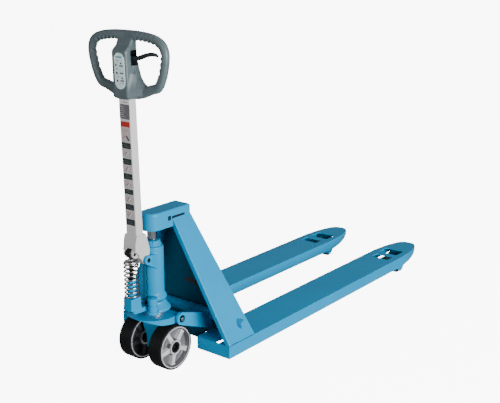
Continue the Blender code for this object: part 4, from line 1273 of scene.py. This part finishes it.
def build_tube_labels():
    """A strip of plain printed blocks down the tube's front; the marks on them mean nothing."""
    shapes = [panel(24, 1026, 1041, PRINT_WHITE),
              stroke(-5, 1033, 16, 1033, 3.0, PRINT_GREY),
              panel(25, 972, 1024, PRINT_GREY),
              panel(22.5, 944, 963, PRINT_RED),
              panel(22, 888, 943, PRINT_PALE)]
    chance = random.Random(4)
    for k in range(6):
        s = 1015.0 - 7.0 * k
        reach = chance.uniform(8, 19)
        shapes.append(stroke(-20, s, -20 + 2 * reach, s, 1.3, PRINT_PALE))
    for k in range(3):
        s = 937.0 - 5.0 * k
        shapes.append(stroke(-17, s, 17 - 5 * k, s, 1.6, PRINT_ROSE))
    shapes.append(stroke(-15, 900, -2, 914, 6.0, PRINT_ROSE))
    shapes.append(stroke(2, 912, 15, 896, 7.0, PRINT_DARK))
    blocks = ((865, 887), (807, 829), (752, 774), (697, 716), (638, 660), (580, 603))
    for low, high in blocks:
        shapes.append(panel(22, low, high, PRINT_DARK))
        shapes.append(stroke(-14, low + 8, 15, low + 8, 1.2, PRINT_GREY))
        shapes.append(stroke(-14, low + 14, 8, low + 14, 1.2, PRINT_GREY))
    for (low, _), (_, high) in zip(blocks, blocks[1:]):
        top, foot = low - 3.0, high + 3.0
        shapes.append(panel(21, foot, top, PRINT_PALE, 5.0))
        mid = (top + foot) / 2
        for k, look in enumerate((PRINT_ROSE, PRINT_GREY, PRINT_WHITE, PRINT_ROSE)):
            x = -13 + 8.5 * k
            tilt = chance.uniform(3, 7)
            rise = chance.uniform(4, 10)
            shapes.append(stroke(x - tilt, mid - rise, x + tilt, mid + rise, 2.6, look))
    finish(lean(joined("labels", shapes)), "handle_tube_labels", "handle", None, "label")


def superellipse(centre, out, half_out, half_deep, sides=28, power=2.5):
    """A rounded-square ring: across the limb in the loop's plane, and in depth."""
    ring = []
    for k in range(sides):
        turn = 2 * math.pi * k / sides
        c, s = math.cos(turn), math.sin(turn)
        reach = half_out * math.copysign(abs(c) ** (2 / power), c)
        deep = half_deep * math.copysign(abs(s) ** (2 / power), s)
        ring.append((centre[0] + out[0] * reach, centre[2] + deep, centre[1] + out[1] * reach))
    return ring


def heading(line, i):
    """The direction, in its plane, of a line at its i-th point."""
    ahead = line[min(i + 1, len(line) - 1)] - line[max(i - 1, 0)]
    return Vector((ahead[0], ahead[1])).normalized()


def build_grip():
    """The loop: two limbs swept round their hand holes with finger scallops, and a tapered column,
    fused and relaxed into one moulding."""
    limb = [(-8, 705.5, 17.4), (20, 705.2, 17.4), (52, 704.5, 17.4), (85, 702, 17.4),
            (118, 697.5, 17.4), (146, 690, 16.8), (166, 678, 16.2), (176, 661, 15.6),
            (178, 642, 15.8), (175.5, 622, 16.4), (171.5, 605, 16.8),
            (167.5, 588, 16.4), (160.5, 568, 16.0), (150.5, 547, 16.4), (136, 531, 16.8), (114, 525, 17.0),
            (92, 518, 18.0), (70, 509, 18.0), (44, 502, 17), (20, 500, 17)]
    line = curve_through(limb, 9)
    shells = []
    for sign in (1, -1):
        rings = []
        for i, spot in enumerate(line):
            along = heading(line, i)
            out = Vector((-along.y, along.x))
            t = i / (len(line) - 1)
            fingers = 0.0
            if 50 < spot.x < 150 and spot.y > 670:
                fingers = 4.0 * (1 - math.cos(2 * math.pi * (spot.x - 50) / 20.0))
            if 571 < spot.y < 655 and spot.x > 150:
                fingers = 2.4 * (1 - math.cos(2 * math.pi * (spot.y - 571) / 21.0))
            inner = -out * fingers * 0.5
            centre = (sign * (spot.x - inner.x), spot.y - inner.y, 14.0)
            fade = min(1.0, 0.8 + 2.2 * t)
            rings.append(superellipse(centre, (sign * out.x, out.y), spot.z - fingers * 0.5, 14.0 * fade))
        shells.append(loft("limb", rings))
    column = []
    for s, half, front, back in ((487, 31, -26, 23), (490, 35, -30, 25), (496, 37.5, -32.5, 26),
                                 (560, 37.5, -32.5, 26), (650, 36.5, -32.5, 26), (657, 36, -30, 26),
                                 (664, 36, -21, 26), (672, 36, -11, 26), (683, 37, -5, 26),
                                 (693, 38, 0, 25), (703, 36, 5, 22)):
        outline = rounded([(-half, front, 9), (half, front, 6), (half, back, 7), (-half, back, 7)], 6)
        column.append([(x, depth, s) for x, depth in outline])
    shells.append(loft("column", column))
    web = [(-30, 489), (30, 489), (60, 499), (90, 506), (100, 520), (84, 531), (68, 541), (53, 561),
           (43, 591), (36, 625), (-36, 625), (-43, 591), (-53, 561), (-68, 541), (-84, 531), (-100, 520),
           (-90, 506), (-60, 499)]
    shells.append(slab("web", web, "Y", 2, 26))
    chin = []
    for depth, reach in ((-31, 0.0), (-24, 0.16), (-14, 0.42), (-4, 0.72), (6, 1.0)):
        row = [(36 + 46 * reach, 494 + 10 * reach), (34 + 50 * reach, 520 + 6 * reach),
               (33 + 26 * reach, 552 - 4 * reach), (30 + 16 * reach, 585 - 10 * reach)]
        right = [(31 + 30 * reach, 491 + 4 * reach)] + row
        chin.append([(x, depth, s) for x, s in right + [(-x, s) for x, s in reversed(right)]])
    shells.append(loft("chin", chin))
    made = melt(lean(joined("grip", shells)), 1.7, 7)
    slot = lean(box("slot", (8, -9.5, 603), (60, 20.5, 656)))
    combine(made, slot)
    wide, deep = TUBE_HALF[0] + 0.4, TUBE_HALF[1] + 0.4
    outline = rectangle((-wide, -deep), (wide, deep), 4.5)
    combine(made, lean(slab("socket", outline, "Z", 460, TUBE_TOP + 0.4)))
    made.data.shade_smooth()
    made.data.set_sharp_from_angle(angle=math.radians(50))
    finish(made, "handle_grip_moulded", "handle", GRIP, "grip_plastic", "handle_grip")


def build_slot_liner():
    """The black guide that lines the lever's slot, with its small cross ribs."""
    shells = []
    for low, high in (((8.4, -9.2, 603.3), (38.2, 20.2, 606)), ((8.4, -9.2, 653), (38.2, 20.2, 655.7)),
                      ((8.4, -9.2, 606), (38.2, -7.4, 653)), ((8.4, 18.2, 606), (38.2, 20.2, 653)),
                      ((8.4, -7.4, 606), (10.4, 18.2, 653))):
        shells.append(soften(box("wall", low, high), 0.4, 2))
    for first, count in ((609.0, 4), (645.0, 2)):
        for k in range(count):
            z = first + 3.4 * k
            shells.append(soften(box("rib", (12, -7.4, z), (37.4, 18.2, z + 1.4)), 0.2, 1))
    finish(lean(joined("liner", shells)), "lever_slot_liner", "handle", BLACK_PLASTIC, "black_plastic")


def build_plate():
    """The pill-shaped plate on the column's front: plain dots, bars and an accent."""
    front = COLUMN_FRONT - 0.4
    plate = [*arc((4, 624), 25, 0, 180, 28), *arc((4, 548), 25, 180, 360, 28)]
    base = soften(slab("plate", plate, "Y", front - 1.5, front + 1.0), 0.35, 2)
    base.data.materials.append(PRINT_PLATE)
    shapes = [base]

    def mark(outline, look):
        made = soften(slab("mark", outline, "Y", front - 1.75, front - 1.45), 0)
        made.data.materials.append(look)
        shapes.append(made)

    def bar(x, s, wide, tall, look):
        corner = min(wide, tall) * 0.3
        mark(rectangle((x - wide, s - tall), (x + wide, s + tall), corner, 2), look)

    bar(4, 634, 15, 2.4, PRINT_TEAL)
    bar(-4, 622, 3, 2.0, PRINT_GREY)
    for x, s in ((-11, 606), (-9, 579), (-7, 552)):
        mark(circle((x, s), 4.0, 20), PRINT_DARK)
    for x, s in ((13, 613), (16, 562)):
        mark(circle((x, s), 3.4, 20), PRINT_DARK)
    for x, s in ((13, 604), (15, 579), (16, 553)):
        bar(x, s, 9, 2.4, PRINT_GREY)
    for x, s in ((-6, 593), (-3, 566)):
        bar(x, s, 5, 2.4, PRINT_PALE)
    bar(13, 545, 8, 1.2, PRINT_ROSE)
    made = lean(joined("plate", shapes))
    finish(made, "instruction_plate_print", "handle", None, "label", "instruction_plate")


LEVER_PIVOT = (24.0, 632.0)


def build_lever():
    """The curved finger lever: a tapered, round-edged blade with a hub round its pin."""
    spine = [(22, 631.5, 7.6, 7.0), (42, 630.0, 7.8, 7.0), (62, 630.4, 8.0, 7.2), (80, 635, 8.0, 7.4),
             (96, 640.6, 7.8, 7.4), (110, 644.5, 7.6, 7.4), (123, 647, 7.3, 7.2), (136, 648, 6.8, 7.0),
             (147, 647, 6.0, 6.4), (155, 644.4, 4.6, 5.2), (158.5, 642.8, 3.0, 3.6)]
    line = curve_through(spine)
    rings = []
    for i, spot in enumerate(line):
        x, s, half, deep = spot
        along = heading(line, i)
        rings.append(superellipse((x, s, 0), (-along.y, along.x), half, deep, 24, 2.6))
    blade = loft("blade", rings)
    hub = turned("hub", rectangle((3.4, -6.9), (7.4, 6.9), 1, 3), "Y", (LEVER_PIVOT[0], 0, LEVER_PIVOT[1]),
                 40)
    made = joined("lever", [soften(lean(blade), 0, smooth=60), soften(lean(hub), 0)])
    finish(made, "control_lever_moulded", "control_lever", BLACK_PLASTIC, "black_plastic", "control_lever")
    frame["nodes"]["control_lever_pin"].data.materials.clear()
    frame["nodes"]["control_lever_pin"].data.materials.append(STEEL)


# ---- welds and small hardware ---------------------------------------------------------


def build_welds():
    """Beads across the panels' feet at the back, and along the head's lower edges."""
    for side, sign in SIDES:
        z = FORK_TOP + 0.6
        back = panel_back(z)
        line = [Vector((sign * x, back + 1.4, z)) for x in range(int(PANEL_FOOT[0]) - 6, 238, -2)]
        weld(f"weld_foot_{side}", line)
        edge = [Vector((sign * (HEAD_HALF + 1.0), y, HEAD_LOW + 2.0))
                for y in range(int(panel_front(HEAD_LOW)) + 8, int(panel_back(HEAD_LOW)) - 8, 2)]
        weld(f"weld_head_{side}", edge)


# ---- camera, floor and lights ---------------------------------------------------------

FLOOR_GLOW = 8.5
FLOOR_HALF = 40.0
CAMERA_PLACE = (2295.9, -2412.2, 1562.2)
CAMERA_TARGET = (0.8, 483.7, 514.9)
CAMERA_LENS = 65.44


def studio_world():
    world = bpy.data.worlds.new("studio")
    bpy.context.scene.world = world
    world.use_nodes = True
    sky = world.node_tree.nodes["Background"]
    sky.inputs["Color"].default_value = (0.93, 0.97, 1.0, 1)
    sky.inputs["Strength"].default_value = 0.24


def floor_look():
    made, tree, shader = surface("white_floor")
    tone = ramp(tree, noise(tree, 1.5, 3.0), ((0.3, 0.80), (0.7, 0.84)))
    wire(tree, shader, tone, None, bump(tree, noise(tree, 60.0, 2.0), 0.02, 0.2))
    shader.inputs["Roughness"].default_value = 0.9
    shader.inputs["Emission Color"].default_value = (1, 1, 1, 1)
    shader.inputs["Emission Strength"].default_value = FLOOR_GLOW
    return made


def build_floor():
    half = FLOOR_HALF
    mesh = bpy.data.meshes.new("floor")
    mesh.from_pydata([(-half, -half, 0), (half, -half, 0), (half, half, 0), (-half, half, 0)], [],
                     [(0, 1, 2, 3)])
    made = raw_object("floor", mesh)
    made.location.z = -0.0005
    made.data.materials.append(floor_look())
    made.visible_diffuse = False
    made.visible_glossy = False


def area_light(name, place, target, size, power):
    light = bpy.data.lights.new(name, "AREA")
    light.shape = "RECTANGLE"
    light.size, light.size_y = size
    light.energy = power
    made = bpy.data.objects.new(name, light)
    bpy.context.scene.collection.objects.link(made)
    made.location = place
    made.rotation_euler = (Vector(target) - Vector(place)).to_track_quat("-Z", "Y").to_euler()


def build_lights():
    centre = (0.0, -0.2, 0.4)
    area_light("key", (5.1, -1.5, 1.4), centre, (3.0, 2.2), 530)
    area_light("front", (-1.0, -5.2, 1.6), centre, (2.6, 2.0), 56)
    area_light("top", (-0.6, 0.6, 4.6), centre, (3.0, 3.0), 20)


def build_camera():
    lens = bpy.data.cameras.new("camera")
    lens.lens = CAMERA_LENS
    lens.sensor_width = 36.0
    lens.clip_end = 200
    made = bpy.data.objects.new("camera", lens)
    bpy.context.scene.collection.objects.link(made)
    place = Vector(CAMERA_PLACE) * MM + Vector((0, HEEL, 0))
    target = Vector(CAMERA_TARGET) * MM + Vector((0, HEEL, 0))
    made.location = place
    made.rotation_euler = (target - place).to_track_quat("-Z", "Y").to_euler()
    bpy.context.scene.camera = made


def main():
    for build in (studio_world, build_floor, build_lights, build_camera, build_forks, build_gussets,
                  build_heels, build_panels, build_head, build_decals, build_shroud, build_linkage,
                  build_wheels, build_cylinder, build_piston, build_castings, build_valve, build_plunger,
                  build_spring, build_chain, build_bracket, build_tube, build_tube_labels, build_grip,
                  build_slot_liner, build_plate, build_lever, build_welds):
        build()


main()
